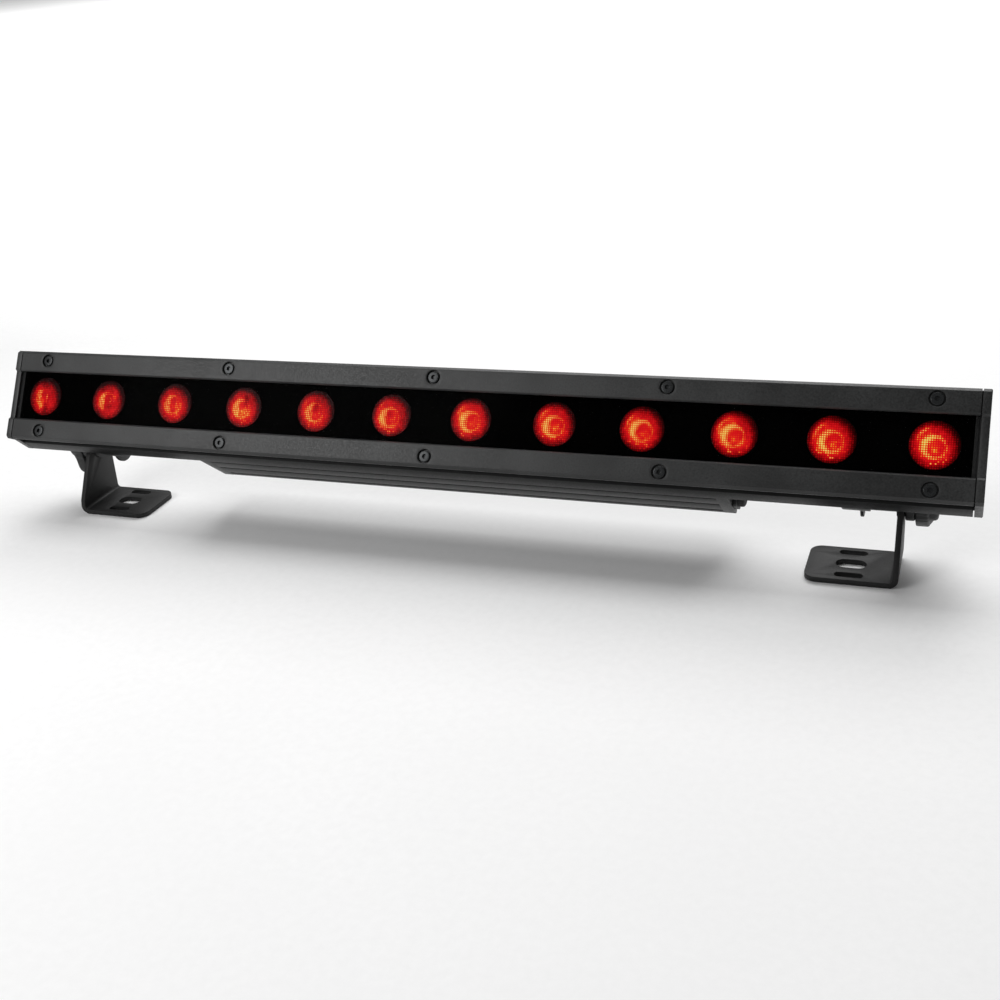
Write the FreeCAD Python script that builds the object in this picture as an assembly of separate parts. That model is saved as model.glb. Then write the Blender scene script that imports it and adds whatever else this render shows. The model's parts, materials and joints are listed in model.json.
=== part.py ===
import FreeCAD, Part
import os
from math import cos, hypot, radians, sin, sqrt

V = FreeCAD.Vector

# LED strip batten: a long aluminium housing with a row of lenses behind one window, a driver box
# on its back, and two foot brackets that slide along a rail and are clamped by knobs.
# The batten is drawn upright in its own frame: X along it, depth (+Y) back from the bezel face,
# height (+Z) up from the line of lens centres. It is then tilted about the foot pivots.

# ------------------------------------------------------------------ driving dimensions, mm
# Row of lenses, which sets the length
lens_count = 12
lens_pitch = 83.3
end_margin = 0.2

# Section of the batten
window_margin = 6.6
bezel_face_width = 18.6
bezel_chamfer = 2.75
bezel_thickness = 5.0
window_chamfer = 1.9
glass_recess = 2.2
glass_thickness = 2.6
glass_lap = 4.5
gasket_thickness = 1.0
gasket_width = 3.0
cavity_depth = 20.0
floor_thickness = 5.0
fin_height = 12.0
fin_thickness = 2.0
fin_count = 8
fins_above_slot = 12.5
belly_rise = 2.25
nose_depth = 20.0
nose_drop = 1.45
tail_drop = 5.75
back_chamfer = 3.0
channel_wall = 3.25
channel_front_wall = 8.5
channel_depth = 8.5
channel_height = 13.0

# Ends of the batten
cap_thickness = 7.0
cap_gasket_thickness = 1.0
cap_gasket_inset = 1.2
cap_edge_chamfer = 0.8

# Screws: thread, head and socket of each size
bezel_screw_count = 5
bezel_screw_inset = 42.5
bezel_screw_from_edge = 7.6
bezel_screw_r = 3.0
bezel_head_r = 5.6
bezel_head_height = 2.6
bezel_socket_af = 4.0
counterbore_r = 7.4
counterbore_depth = 3.0
bezel_screw_grip = 7.0
cap_screw_r = 2.0
cap_head_r = 3.9
cap_screw_length = 16.0
cap_socket_af = 2.4
socket_depth = 1.6
head_edge_share = 0.35
blind_end = 1.0

# Optics and light source
lens_r = 20.8
lens_flange_thickness = 1.5
lens_neck_r = 6.0
lens_flange_lip = 1.4
lens_edge = 0.4
lens_pocket_r = 3.6
lens_pocket_depth = 4.2
lens_pocket_draft = 0.4
lens_pocket_crown = 1.2
lens_length = 11.2
lens_gap = 0.2
mask_setback = 0.6
mask_thickness = 1.5
holder_wall = 0.9
holder_step = 0.2
holder_floor = 1.2
board_thickness = 1.6
board_side_gap = 3.3
board_end_gap = 12.0
chip_side = 7.0
chip_base = 0.8
chip_dome_r = 2.4
board_screw_r = 1.5
board_head_r = 2.8
board_head_height = 2.0
board_socket_af = 2.1
board_screw_from_edge = 6.0
board_screw_grip = 3.0

# Rail for the foot blocks, in the lower back of the housing
slot_rise = 12.5
slot_mouth = 8.4
slot_width = 15.0
slot_lip = 3.5
slot_depth = 8.0
top_block_height = 13.75

# Driver box behind the housing
driver_depth = 60.0
driver_top = 6.0
driver_front_rise = 1.5
driver_back_sag = 7.5
driver_wall = 2.5
driver_bottom_wall = 3.6
driver_corner_r = 4.0
driver_band_count = 3
driver_groove_width = 2.0
driver_groove_depth = 1.2
driver_groove_share = 0.35
driver_boss_r = 3.8
driver_boss_margin = 6.0
driver_boss_margin_high = 12.0
driver_boss_rise = 7.0
driver_cap_thickness = 11.0
driver_cap_pocket = 6.0
driver_cap_rim = 10.0
driver_cap_screw_grip = 8.0
driver_end_gap_right = 24.7
driver_end_gap_left = 31.7
driver_rib_low = -6.0
driver_rib_high = 2.0
mount_screw_r = 2.5
mount_head_r = 4.25
mount_head_height = 2.8
mount_socket_af = 3.0
mount_screw_grip = 9.0
mount_row_above_slot = 6.5
mount_columns = 4
mount_end_inset = 48.0
lead_height = -14.0
lead_x = 12.0
lead_r = 2.5
lead_above_board = 1.0
lead_tail = 14.0
grommet_r = 6.0
grommet_wall = 2.5
grommet_stand = 2.0
grommet_gap = 0.2
supply_length = 210.0
supply_depth = 38.0
supply_height = 34.0
supply_end_gap = 20.0
control_length = 110.0
control_height = 36.0
control_thickness = 1.6
control_rise = 8.0
control_from_supply = 20.0
control_foot = 10.0
inductor_size = (22.0, 12.0, 18.0)
inductor_place = (20.0, 6.0)
capacitor_size = (18.0, 10.0, 12.0)
capacitor_place = (70.0, 8.0)
inlet_side = 27.0
inlet_flange = 3.5
inlet_corner_r = 3.0
inlet_cap_r = 12.0
inlet_cap_height = 6.5
inlet_cap_edge_r = 2.0
inlet_edge = 2.2

# Pivot and tilt
pivot_depth = 72.0
pivot_above_floor = 61.8
pivot_setback = 17.5
tilt_deg = 32.4
pivot_r = 5.0

# Foot bracket, folded from plate
foot_thickness = 5.0
foot_width = 61.0
foot_length = 81.8
foot_end_inset = 64.5
foot_corner_r = 11.0
foot_bend_inner_r = 3.5
foot_top_r = 16.5
foot_neck_height = 15.0
foot_neck_cut = 1.5
slot_centre_from_arm = 42.9
centre_slot_length = 27.0
centre_slot_width = 15.0
side_slot_length = 25.0
side_slot_width = 8.0
side_slot_offset = 21.0

# Foot block, which slides on the rail and carries the pivot
block_width = 24.0
block_depth = 22.7
block_half_height = 12.0
block_corner = 4.0
ear_thickness = 2.8
ear_r = 15.5
ear_root = 12.0
ear_to_arm = 29.2
block_to_ear = 6.6
rail_screw_r = 3.0
rail_head_r = 5.0
rail_head_height = 6.0
rail_socket_af = 5.0
rail_screw_clearance = 1.5
rail_screw_from_edge = 6.4
nut_end_gap = 1.0
slide_inward = 45.0
bolt_head_af = 15.0
bolt_head_height = 6.4
bolt_end = 14.0
spacer_r = 9.0
washer_r = 13.0
washer_thickness = 1.0
collar_r = 16.0
collar_thickness = 7.8

# Clamp knob: a two-lobed wing knob with a metal insert
knob_reach = 33.0
knob_lobe_r = 12.0
knob_hub_r = 17.0
knob_rim = 12.0
knob_crown = 8.0
knob_bore_depth = 15.2
knob_insert_r = 8.0
knob_insert_length = 11.0
knob_dome_r = 74.8
knob_angle_right = 40.0
knob_angle_left = -5.0

# Clearances
running_fit = 0.05
slide_fit = 0.3
thread_fit = 0.1
hole_fit = 0.25
glass_fit = 0.3
board_fit = 0.3
# How far a cutting tool runs past the face that it opens
over = 1.0
# Distance under which two places count as the same.
near = 0.01

# ------------------------------------------------------------------ derived sizes
half_length = lens_count * lens_pitch / 2 + end_margin
cap_inner_x = half_length - cap_thickness
body_half = cap_inner_x - cap_gasket_thickness
window_half_height = lens_r + window_margin
face_half_height = window_half_height + bezel_face_width
outer_half_height = face_half_height + bezel_chamfer
bezel_screw_height = face_half_height - bezel_screw_from_edge
window_sill = window_half_height - window_chamfer
glass_half_height = window_sill + glass_lap
glass_back = glass_recess + glass_thickness
body_back = cavity_depth + floor_thickness + fin_height
belly = -(outer_half_height - belly_rise)
nose = -(outer_half_height + nose_drop)
tail = -(outer_half_height + tail_drop)
pivot_height = tail + slot_rise
slot_top = pivot_height + slot_width / 2
fins_low = slot_top + fins_above_slot
gasket_back = glass_back + gasket_thickness
cavity_half_height = glass_half_height + glass_fit - gasket_width
lens_front = glass_back + lens_gap
board_front = cavity_depth - board_thickness
board_half_height = cavity_half_height - board_side_gap
board_screw_height = board_half_height - board_screw_from_edge
channel_low = outer_half_height - channel_wall - channel_height
channel_front = bezel_thickness + channel_front_wall
arm_outer_x = half_length - foot_end_inset
arm_inner_x = arm_outer_x - foot_thickness
foot_free_x = arm_outer_x - foot_length
slot_centre_x = arm_outer_x - slot_centre_from_arm
ear_outer_x = arm_inner_x - ear_to_arm
block_outer_x = ear_outer_x + block_to_ear
block_inner_x = block_outer_x - block_width
driver_cap_x = foot_free_x - slide_inward - driver_end_gap_right
driver_right_x = driver_cap_x - driver_cap_thickness
driver_shift = driver_end_gap_left - driver_end_gap_right
driver_left_x = driver_shift - driver_right_x
driver_back = body_back + driver_depth
supply_x = driver_left_x + supply_end_gap
supply_y = body_back + (driver_depth - supply_depth) / 2
control_x = supply_x + supply_length + control_from_supply
control_y = body_back + driver_depth / 2
block_front = body_back + slide_fit
block_back = block_front + block_depth
block_low = pivot_height - block_half_height
block_high = pivot_height + block_half_height
knob_inner_x = arm_outer_x + slide_fit + washer_thickness + collar_thickness + slide_fit
lens_places = [(i - (lens_count - 1) / 2) * lens_pitch for i in range(lens_count)]


# ------------------------------------------------------------------ shape helpers
def box(x0, x1, y0, y1, z0, z1):
    """Block between two corners."""
    return Part.makeBox(x1 - x0, y1 - y0, z1 - z0, V(x0, y0, z0))


def rod(start, direction, r, length):
    """Round bar from a point along a direction."""
    return Part.makeCylinder(r, length, start, direction)


def section(points, x0, x1):
    """Straight extrusion along X of an outline given as (depth, height) points."""
    ring = [V(x0, y, z) for y, z in points]
    face = Part.Face(Part.makePolygon(ring + ring[:1]))
    return face.extrude(V(x1 - x0, 0, 0))


def turned(points, centre):
    """Solid turned about the depth axis through a centre, from (radius, depth) points."""
    ring = [V(r, y, 0) for r, y in points]
    face = Part.Face(Part.makePolygon(ring + ring[:1]))
    solid = face.revolve(V(0, 0, 0), V(0, 1, 0), 360)
    solid.translate(centre)
    return solid


def hexagon(start, direction, across_flats, length):
    """Hexagonal bar from a point along a direction."""
    r = across_flats / sqrt(3)
    corners = [V(r * cos(radians(60 * i)), r * sin(radians(60 * i)), 0) for i in range(7)]
    bar = Part.Face(Part.makePolygon(corners)).extrude(V(0, 0, length))
    bar.Placement = FreeCAD.Placement(start, FreeCAD.Rotation(V(0, 0, 1), direction))
    return bar


def even(first, last, count):
    """Evenly spaced places from first to last."""
    return [first + i * (last - first) / (count - 1) for i in range(count)]


def group(shapes):
    """Identical loose pieces kept in one file as separate solids."""
    return Part.makeCompound([solid for shape in shapes for solid in shape.Solids])


def socket_screw(seat, inward, r, head_r, head_height, grip, socket):
    """Cap screw: seat is the centre of the face under its head, inward the way it is driven."""
    out = inward * -1
    head = rod(seat, out, head_r, head_height)
    rim = [e for e in head.Edges if abs((e.CenterOfMass - seat).dot(out) - head_height) < near]
    head = head.makeFillet(head_height * head_edge_share, rim[:1])
    drive = hexagon(seat + out * (head_height - socket_depth), out, socket, head_height)
    return head.fuse(rod(seat, inward, r, grip)).cut(drive).removeSplitter()


def flat_screw(face, inward, r, head_r, length, socket):
    """Countersunk screw whose head lies flush with a face."""
    cone = Part.makeCone(head_r, r, head_r - r, face, inward)
    drive = hexagon(face, inward, socket, socket_depth)
    return cone.fuse(rod(face, inward, r, length)).cut(drive).removeSplitter()


def mirrored(shape, shift=0):
    """The same piece for the left end, moved along X by a shift."""
    turned_over = shape.mirror(V(0, 0, 0), V(1, 0, 0))
    turned_over.translate(V(shift, 0, 0))
    return turned_over


# ------------------------------------------------------------------ placing
def tilt(shape):
    """Batten frame to the part's frame: turned about the pivot and lifted to its height."""
    turn = FreeCAD.Rotation(V(1, 0, 0), -tilt_deg)
    pivot = turn.multVec(V(0, pivot_depth, pivot_height))
    shift = V(0, pivot_setback, pivot_above_floor) - pivot
    placed = shape.copy()
    placed.Placement = FreeCAD.Placement(shift, turn).multiply(placed.Placement)
    return placed


def save(name, shape):
    """Write one piece to its own file."""
    shape.exportStep("parts/" + name + ".step")


# ------------------------------------------------------------------ housing
def bezel_screw_places():
    """X places of the screws along each bezel."""
    reach = half_length - bezel_screw_inset
    return even(-reach, reach, bezel_screw_count)


def board_screw_places():
    """X places of the board screws, midway between lenses, on both rows."""
    middles = [x + lens_pitch / 2 for x in lens_places[:-1]]
    return [(x, s * board_screw_height) for x in middles for s in (-1, 1)]


def mount_screw_places():
    """X and height of the screws that hold the driver box."""
    columns = even(driver_left_x + mount_end_inset, driver_right_x - mount_end_inset, mount_columns)
    rows = (slot_top + mount_row_above_slot, (driver_rib_low + driver_rib_high) / 2)
    return [(x, z) for x in columns for z in rows]


def cap_screw_places():
    """Depth and height of the screws that hold an end cap."""
    front = bezel_thickness + channel_front_wall / 2
    rear = body_back - fin_height / 2
    high = outer_half_height - channel_wall - channel_height / 2
    return [(front, high), (front, -high), (rear, outer_half_height - top_block_height / 2),
            (rear, (fins_low + slot_top) / 2)]


def fin_gaps():
    """Spaces between the cooling fins, as blocks to be cut out."""
    top = outer_half_height - top_block_height
    spans = [(fins_low, driver_rib_low), (driver_rib_high, top)]
    total = sum(b - a for a, b in spans)
    gaps = []
    for low, high in spans:
        fins = max(1, round(fin_count * (high - low) / total))
        gap = (high - low - fins * fin_thickness) / (fins + 1)
        for i in range(fins + 1):
            z = low + i * (gap + fin_thickness)
            gaps.append(box(-half_length, half_length, body_back - fin_height, body_back + over, z, z + gap))
    return gaps


def rail_slot():
    """T-shaped slot of the rail, open at the back."""
    z = pivot_height
    deep = body_back - slot_depth
    lip = body_back - slot_lip
    mouth = box(-half_length, half_length, deep, body_back + over, z - slot_mouth / 2, z + slot_mouth / 2)
    wide = box(-half_length, half_length, deep, lip, z - slot_width / 2, z + slot_width / 2)
    return [mouth, wide]


def housing_extrusion():
    """Extruded aluminium housing: front cavity, hollow side bars, fins and rail."""
    h = outer_half_height
    outline = [(bezel_thickness, h), (body_back - back_chamfer, h), (body_back, h - back_chamfer),
               (body_back, tail), (nose_depth, nose), (nose_depth, belly), (bezel_thickness, belly)]
    body = section(outline, -body_half, body_half)
    seat = glass_half_height + glass_fit
    tools = [
        box(-half_length, half_length, 0, cavity_depth, -cavity_half_height, cavity_half_height),
        box(-half_length, half_length, 0, gasket_back, -seat, seat),
    ]
    for low in (channel_low, -channel_low - channel_height):
        tools.append(box(-half_length, half_length, channel_front, channel_front + channel_depth,
                         low, low + channel_height))
    tools += fin_gaps() + rail_slot()
    back = V(0, 1, 0)
    for x in bezel_screw_places():
        for s in (-1, 1):
            start = V(x, bezel_thickness - over, s * bezel_screw_height)
            tools.append(rod(start, back, bezel_screw_r + thread_fit, channel_front_wall + 2 * over))
    for x, z in board_screw_places():
        start = V(x, cavity_depth - over, z)
        tools.append(rod(start, back, board_screw_r + thread_fit, board_screw_grip + blind_end + over))
    for x, z in mount_screw_places():
        start = V(x, body_back + over, z)
        tools.append(rod(start, V(0, -1, 0), mount_screw_r + thread_fit, mount_screw_grip + blind_end + over))
    tools.append(rod(V(lead_x, cavity_depth - over, lead_height), back, grommet_r + hole_fit, body_back))
    cap_grip = cap_screw_length - cap_thickness - cap_gasket_thickness
    for y, z in cap_screw_places():
        for s in (-1, 1):
            start = V(s * (body_half + over), y, z)
            tools.append(rod(start, V(-s, 0, 0), cap_screw_r + thread_fit, cap_grip + blind_end + over))
    return body.cut(tools)


def bezel(side):
    """Bezel bar above (+1) or below (-1) the window, with its counterbored screw holes."""
    seat = glass_half_height + glass_fit
    outline = [(0, window_half_height), (0, face_half_height), (bezel_chamfer, outer_half_height),
               (bezel_thickness, outer_half_height), (bezel_thickness, seat), (glass_recess, seat),
               (glass_recess, window_sill)]
    bar = section([(y, side * z) for y, z in outline], -body_half, body_half)
    tools = []
    for x in bezel_screw_places():
        start = V(x, -over, side * bezel_screw_height)
        tools.append(rod(start, V(0, 1, 0), counterbore_r, counterbore_depth + over))
        tools.append(rod(start, V(0, 1, 0), bezel_screw_r + hole_fit, bezel_thickness + 2 * over))
    return bar.cut(tools)


def bezel_screws(side):
    """Screws along one bezel."""
    depth = counterbore_depth
    reach = bezel_thickness - depth + bezel_screw_grip
    return group([socket_screw(V(x, depth, side * bezel_screw_height), V(0, 1, 0), bezel_screw_r,
                               bezel_head_r, bezel_head_height, reach, bezel_socket_af)
                  for x in bezel_screw_places()])


def window_glass():
    """Long window pane held under both bezels."""
    half = body_half - glass_fit
    return box(-half, half, glass_recess, glass_back, -glass_half_height, glass_half_height)


def window_gasket():
    """Seal between the pane and the ledge of the housing, a long frame."""
    half = body_half - glass_fit
    outer = box(-half, half, glass_back, gasket_back, -glass_half_height, glass_half_height)
    x = half - gasket_width
    z = glass_half_height - gasket_width
    return outer.cut(box(-x, x, 0, body_back, -z, z))


def cap_outline():
    """Outline of the end cap: flush with the bezels, set back across the window."""
    h = outer_half_height
    slope = (tail - nose) / (body_back - nose_depth)
    knee = nose_depth - (nose + h) / slope
    return [(0, window_half_height), (0, face_half_height), (bezel_chamfer, h),
            (body_back - back_chamfer, h), (body_back, h - back_chamfer), (body_back, tail), (knee, -h),
            (bezel_chamfer, -h), (0, -face_half_height), (0, -window_half_height),
            (glass_recess, -window_sill), (glass_recess, window_sill)]


def end_cap():
    """Right end cap with its edge broken and countersunk screw holes."""
    cap = section(cap_outline(), cap_inner_x, half_length)
    rim = [e for e in cap.Edges if abs(e.BoundBox.XMin - half_length) < near and e.BoundBox.XLength < near]
    cap = cap.makeChamfer(cap_edge_chamfer, rim)
    inward = V(-1, 0, 0)
    tools = []
    for y, z in cap_screw_places():
        face = V(half_length, y, z)
        head = cap_head_r + hole_fit
        tools.append(Part.makeCone(head, cap_screw_r + hole_fit, cap_head_r - cap_screw_r, face, inward))
        tools.append(rod(face, inward, cap_screw_r + hole_fit, cap_thickness + over))
    return cap.cut(tools)


def end_cap_gasket():
    """Thin seal between the housing and the right end cap: a front part and a deeper rear part."""
    high = outer_half_height - cap_gasket_inset
    sheet = box(body_half, cap_inner_x, glass_back, body_back - back_chamfer, belly + cap_gasket_inset, high)
    rear = box(body_half, cap_inner_x, nose_depth + cap_gasket_inset, body_back - cap_gasket_inset,
               nose + cap_gasket_inset, high - back_chamfer)
    through = cap_gasket_thickness + 2 * over
    tools = [rod(V(body_half - over, y, z), V(1, 0, 0), cap_screw_r + hole_fit, through)
             for y, z in cap_screw_places()]
    return sheet.fuse(rear).removeSplitter().cut(tools)


def end_cap_screws():
    """Screws of the right end cap."""
    return group([flat_screw(V(half_length, y, z), V(-1, 0, 0), cap_screw_r, cap_head_r,
                             cap_screw_length, cap_socket_af) for y, z in cap_screw_places()])


# ------------------------------------------------------------------ optics and light source
def lens(x):
    """Moulded collimating lens: flat front, flange, cone and a pocket for the chip."""
    y = lens_front
    back = y + lens_length
    flange = y + lens_flange_thickness
    roof = back - lens_pocket_depth
    points = [(0, y), (lens_r - lens_edge, y), (lens_r, y + lens_edge), (lens_r, flange),
              (lens_r - lens_flange_lip, flange), (lens_neck_r, back), (lens_pocket_r, back),
              (lens_pocket_r - lens_pocket_draft, roof), (0, roof - lens_pocket_crown)]
    return turned(points, V(x, 0, 0))


def lens_holders():
    """Cups that hold the lenses over the board."""
    front = lens_front + lens_flange_thickness
    outer = lens_r - holder_step
    inner = outer - holder_wall
    floor = board_front - holder_floor
    points = [(inner, front), (outer, front), (outer, board_front), (chip_side, board_front),
              (chip_side, floor), (inner, floor)]
    return group([turned(points, V(x, 0, 0)) for x in lens_places])


def lens_mask():
    """Dark plate around the lens fronts."""
    half = body_half - gasket_width - 2 * glass_fit
    y = lens_front + mask_setback
    z = cavity_half_height - glass_fit
    plate = box(-half, half, y, y + mask_thickness, -z, z)
    holes = [rod(V(x, 0, 0), V(0, 1, 0), lens_r + glass_fit, body_back) for x in lens_places]
    return plate.cut(holes)


def led_board():
    """Metal-core board that carries the chips."""
    half = body_half - board_end_gap
    plate = box(-half, half, board_front, cavity_depth, -board_half_height, board_half_height)
    holes = [rod(V(x, 0, z), V(0, 1, 0), board_screw_r + hole_fit, body_back)
             for x, z in board_screw_places()]
    holes.append(rod(V(lead_x, 0, lead_height), V(0, 1, 0), lead_r + hole_fit, body_back))
    return plate.cut(holes)


def led_chips():
    """Chips with their small domes, one behind each lens."""
    chips = []
    s = chip_side / 2
    top = board_front - chip_base
    for x in lens_places:
        base = box(x - s, x + s, top, board_front, -s, s)
        dome = Part.makeSphere(chip_dome_r, V(x, top, 0))
        dome = dome.common(box(x - s, x + s, top - s, top, -s, s))
        chips.append(base.fuse(dome).removeSplitter())
    return group(chips)


def board_screws():
    """Small screws that press the board to the housing floor."""
    return group([socket_screw(V(x, board_front, z), V(0, 1, 0), board_screw_r, board_head_r,
                               board_head_height, board_thickness + board_screw_grip, board_socket_af)
                  for x, z in board_screw_places()])


# ------------------------------------------------------------------ driver box
def driver_underside(depth):
    """Height of the sloping underside at a depth."""
    share = (depth - body_back) / driver_depth
    return tail + driver_front_rise - (driver_front_rise + driver_back_sag) * share


def driver_outline(inset, bottom_inset):
    """Outline of the driver box, moved in by its walls."""
    front = body_back + inset
    back = driver_back - inset
    return [(front, driver_top - inset), (back, driver_top - inset),
            (back, driver_underside(back) + bottom_inset), (front, driver_underside(front) + bottom_inset)]


def rounded_back(shape):
    """Driver outline solid with its two rear long edges rounded."""
    boxes = [(e, e.BoundBox) for e in shape.Edges]
    edges = [e for e, b in boxes if abs(b.YMin - driver_back) < near and b.XLength > 1 and b.ZLength < near]
    return shape.makeFillet(driver_corner_r, edges)


def driver_housing():
    """Extruded box with three bands along its underside and four screw bosses inside."""
    tube = rounded_back(section(driver_outline(0, 0), driver_left_x, driver_right_x))
    x0 = driver_left_x - over
    x1 = driver_right_x + over
    tube = tube.cut(section(driver_outline(driver_wall, driver_bottom_wall), x0, x1))
    length = driver_right_x - driver_left_x
    bosses = [rod(V(driver_left_x, y, z), V(1, 0, 0), driver_boss_r, length) for y, z in driver_boss_places()]
    tube = tube.fuse(bosses).removeSplitter()
    tools = [rod(V(x0, y, z), V(1, 0, 0), cap_screw_r + thread_fit, x1 - x0) for y, z in driver_boss_places()]
    band = driver_depth / driver_band_count
    for i in range(driver_band_count):
        y = body_back + (i + driver_groove_share) * band
        low = driver_underside(y)
        tools.append(box(x0, x1, y, y + driver_groove_width, low - over, low + driver_groove_depth))
    for x, z in mount_screw_places():
        start = V(x, body_back - over, z)
        tools.append(rod(start, V(0, 1, 0), mount_screw_r + hole_fit, driver_wall + 2 * over))
    lead = V(lead_x, body_back - over, lead_height)
    tools.append(rod(lead, V(0, 1, 0), grommet_r + hole_fit, driver_wall + 2 * over))
    return tube.cut(tools)


def driver_boss_places():
    """Depth and height of the bosses in the driver box, which hold its end cap screws."""
    front = body_back + driver_boss_margin
    front_high = body_back + driver_boss_margin_high
    back = driver_back - driver_boss_margin
    high = driver_top - driver_boss_margin
    return [(front_high, high), (back, high), (back, driver_underside(back) + driver_boss_rise),
            (front, driver_underside(front) + driver_boss_rise)]


def driver_end_cap():
    """Right end cap of the driver box, a thick plate with a shallow pocket."""
    cap = rounded_back(section(driver_outline(0, 0), driver_right_x, driver_cap_x))
    tools = [section(driver_outline(driver_cap_rim, driver_cap_rim), driver_right_x - over,
                     driver_right_x + driver_cap_pocket)]
    for y, z in driver_boss_places():
        face = V(driver_cap_x, y, z)
        tools.append(Part.makeCone(cap_head_r + hole_fit, cap_screw_r + hole_fit, cap_head_r - cap_screw_r,
                                   face, V(-1, 0, 0)))
        tools.append(rod(face, V(-1, 0, 0), cap_screw_r + hole_fit, driver_cap_thickness + over))
    return cap.cut(tools)


def driver_cap_screws():
    """Screws of the right driver end cap; they bite in the bosses of the box."""
    length = driver_cap_thickness + driver_cap_screw_grip
    return group([flat_screw(V(driver_cap_x, y, z), V(-1, 0, 0), cap_screw_r, cap_head_r, length,
                             cap_socket_af) for y, z in driver_boss_places()])


def driver_mount_screws():
    """Screws from inside the driver box into the back of the housing."""
    seat = body_back + driver_wall
    return group([socket_screw(V(x, seat, z), V(0, -1, 0), mount_screw_r, mount_head_r, mount_head_height,
                               driver_wall + mount_screw_grip, mount_socket_af)
                  for x, z in mount_screw_places()])


def power_supply():
    """Potted power supply that lies on the floor of the driver box."""
    low = driver_underside(supply_y) + driver_bottom_wall
    return box(supply_x, supply_x + supply_length, supply_y, supply_y + supply_depth,
               low, low + supply_height)


def control_board():
    """Driver and control board: it stands on edge on two feet and carries its largest parts."""
    x = control_x
    y = control_y
    low = driver_underside(y) + driver_bottom_wall + control_rise
    pieces = []
    for size, place in ((inductor_size, inductor_place), (capacitor_size, capacitor_place)):
        x0 = x + place[0]
        z0 = low + place[1]
        pieces.append(box(x0, x0 + size[0], y - size[1], y, z0, z0 + size[2]))
    floor = driver_underside(y - control_foot) + driver_bottom_wall + board_fit
    for x0 in (x, x + control_length - control_foot):
        pieces.append(box(x0, x0 + control_foot, y - control_foot, y + control_thickness, floor, low))
    board = box(x, x + control_length, y, y + control_thickness, low, low + control_height)
    return board.fuse(pieces).removeSplitter()


def grommet():
    """Rubber grommet where the lead passes from the driver box to the housing."""
    start = cavity_depth + grommet_gap
    length = body_back + driver_wall + grommet_stand - start
    body = rod(V(lead_x, start, lead_height), V(0, 1, 0), grommet_r, length)
    bore = rod(V(lead_x, start - over, lead_height), V(0, 1, 0), grommet_r - grommet_wall, length + 2 * over)
    return body.cut(bore)


def led_lead():
    """Lead from the driver board to the LED board."""
    start = board_front - lead_above_board
    return rod(V(lead_x, start, lead_height), V(0, 1, 0), lead_r, body_back + lead_tail - start)


def inlet_centre():
    """Centre of the power inlet on the right driver end cap."""
    m = inlet_side / 2 + inlet_edge
    return V(driver_cap_x, driver_back - m, driver_underside(driver_back - m) + m)


def power_inlet():
    """Flange of the power inlet, with rounded corners."""
    c = inlet_centre()
    s = inlet_side / 2
    plate = box(c.x, c.x + inlet_flange, c.y - s, c.y + s, c.z - s, c.z + s)
    corners = [e for e in plate.Edges if e.BoundBox.XLength > inlet_flange / 2]
    return plate.makeFillet(inlet_corner_r, corners)


def inlet_cap():
    """Rubber cap that closes the inlet."""
    c = inlet_centre()
    cap = rod(V(c.x + inlet_flange, c.y, c.z), V(1, 0, 0), inlet_cap_r, inlet_cap_height)
    rim = [e for e in cap.Edges if abs(e.BoundBox.XMin - c.x - inlet_flange - inlet_cap_height) < near
           and e.BoundBox.XLength < near]
    return cap.makeFillet(inlet_cap_edge_r, rim[:1])


# ------------------------------------------------------------------ foot block and pivot, right side
def pivot_axis_point(x):
    """Point of the pivot axis at an X."""
    return V(x, pivot_depth, pivot_height)


def hinge_block():
    """Cast block on the rail with the ear that carries the pivot bolt."""
    outline = [(block_front, block_high), (block_back - block_corner, block_high),
               (block_back, block_high - block_corner), (block_back, block_low + block_corner),
               (block_back - block_corner, block_low), (block_front, block_low)]
    body = section(outline, block_inner_x, block_outer_x)
    x0 = ear_outer_x - ear_thickness
    web = box(x0, ear_outer_x, block_back - ear_root, pivot_depth, pivot_height - ear_r,
              pivot_height + ear_r)
    web = web.common(box(x0, ear_outer_x, 0, pivot_depth, block_low, block_high + ear_r))
    tip = rod(pivot_axis_point(x0), V(1, 0, 0), ear_r, ear_thickness)
    body = body.fuse([web, tip]).removeSplitter()
    c = rail_screw_seat()
    start = V(c.x, block_front - over, c.z)
    tools = [rod(start, V(0, 1, 0), rail_screw_r + hole_fit, block_depth + 2 * over),
             rod(c, V(0, 1, 0), rail_head_r + hole_fit, block_depth),
             rod(pivot_axis_point(x0 - over), V(1, 0, 0), pivot_r + hole_fit, ear_thickness + 2 * over)]
    return body.cut(tools)


def rail_screw_seat():
    """Centre of the seat under the head of the rail screw."""
    return V(block_inner_x + rail_screw_from_edge, block_back - rail_head_height, pivot_height)


def rail_screw():
    """Screw that clamps the block to the rail."""
    c = rail_screw_seat()
    reach = c.y - (body_back - slot_depth) - rail_screw_clearance
    return socket_screw(c, V(0, -1, 0), rail_screw_r, rail_head_r, rail_head_height, reach, rail_socket_af)


def tee_nut():
    """T-shaped nut that slides inside the rail."""
    z = pivot_height
    x0 = block_inner_x + nut_end_gap
    x1 = block_outer_x - nut_end_gap
    deep = body_back - slot_depth + slide_fit
    lip = body_back - slot_lip - slide_fit
    wide = slot_width / 2 - slide_fit
    neck = slot_mouth / 2 - slide_fit
    nut = box(x0, x1, deep, lip, z - wide, z + wide).fuse(box(x0, x1, lip, block_front, z - neck, z + neck))
    c = rail_screw_seat()
    return nut.removeSplitter().cut(rod(V(c.x, 0, z), V(0, 1, 0), rail_screw_r + thread_fit, block_back))


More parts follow.
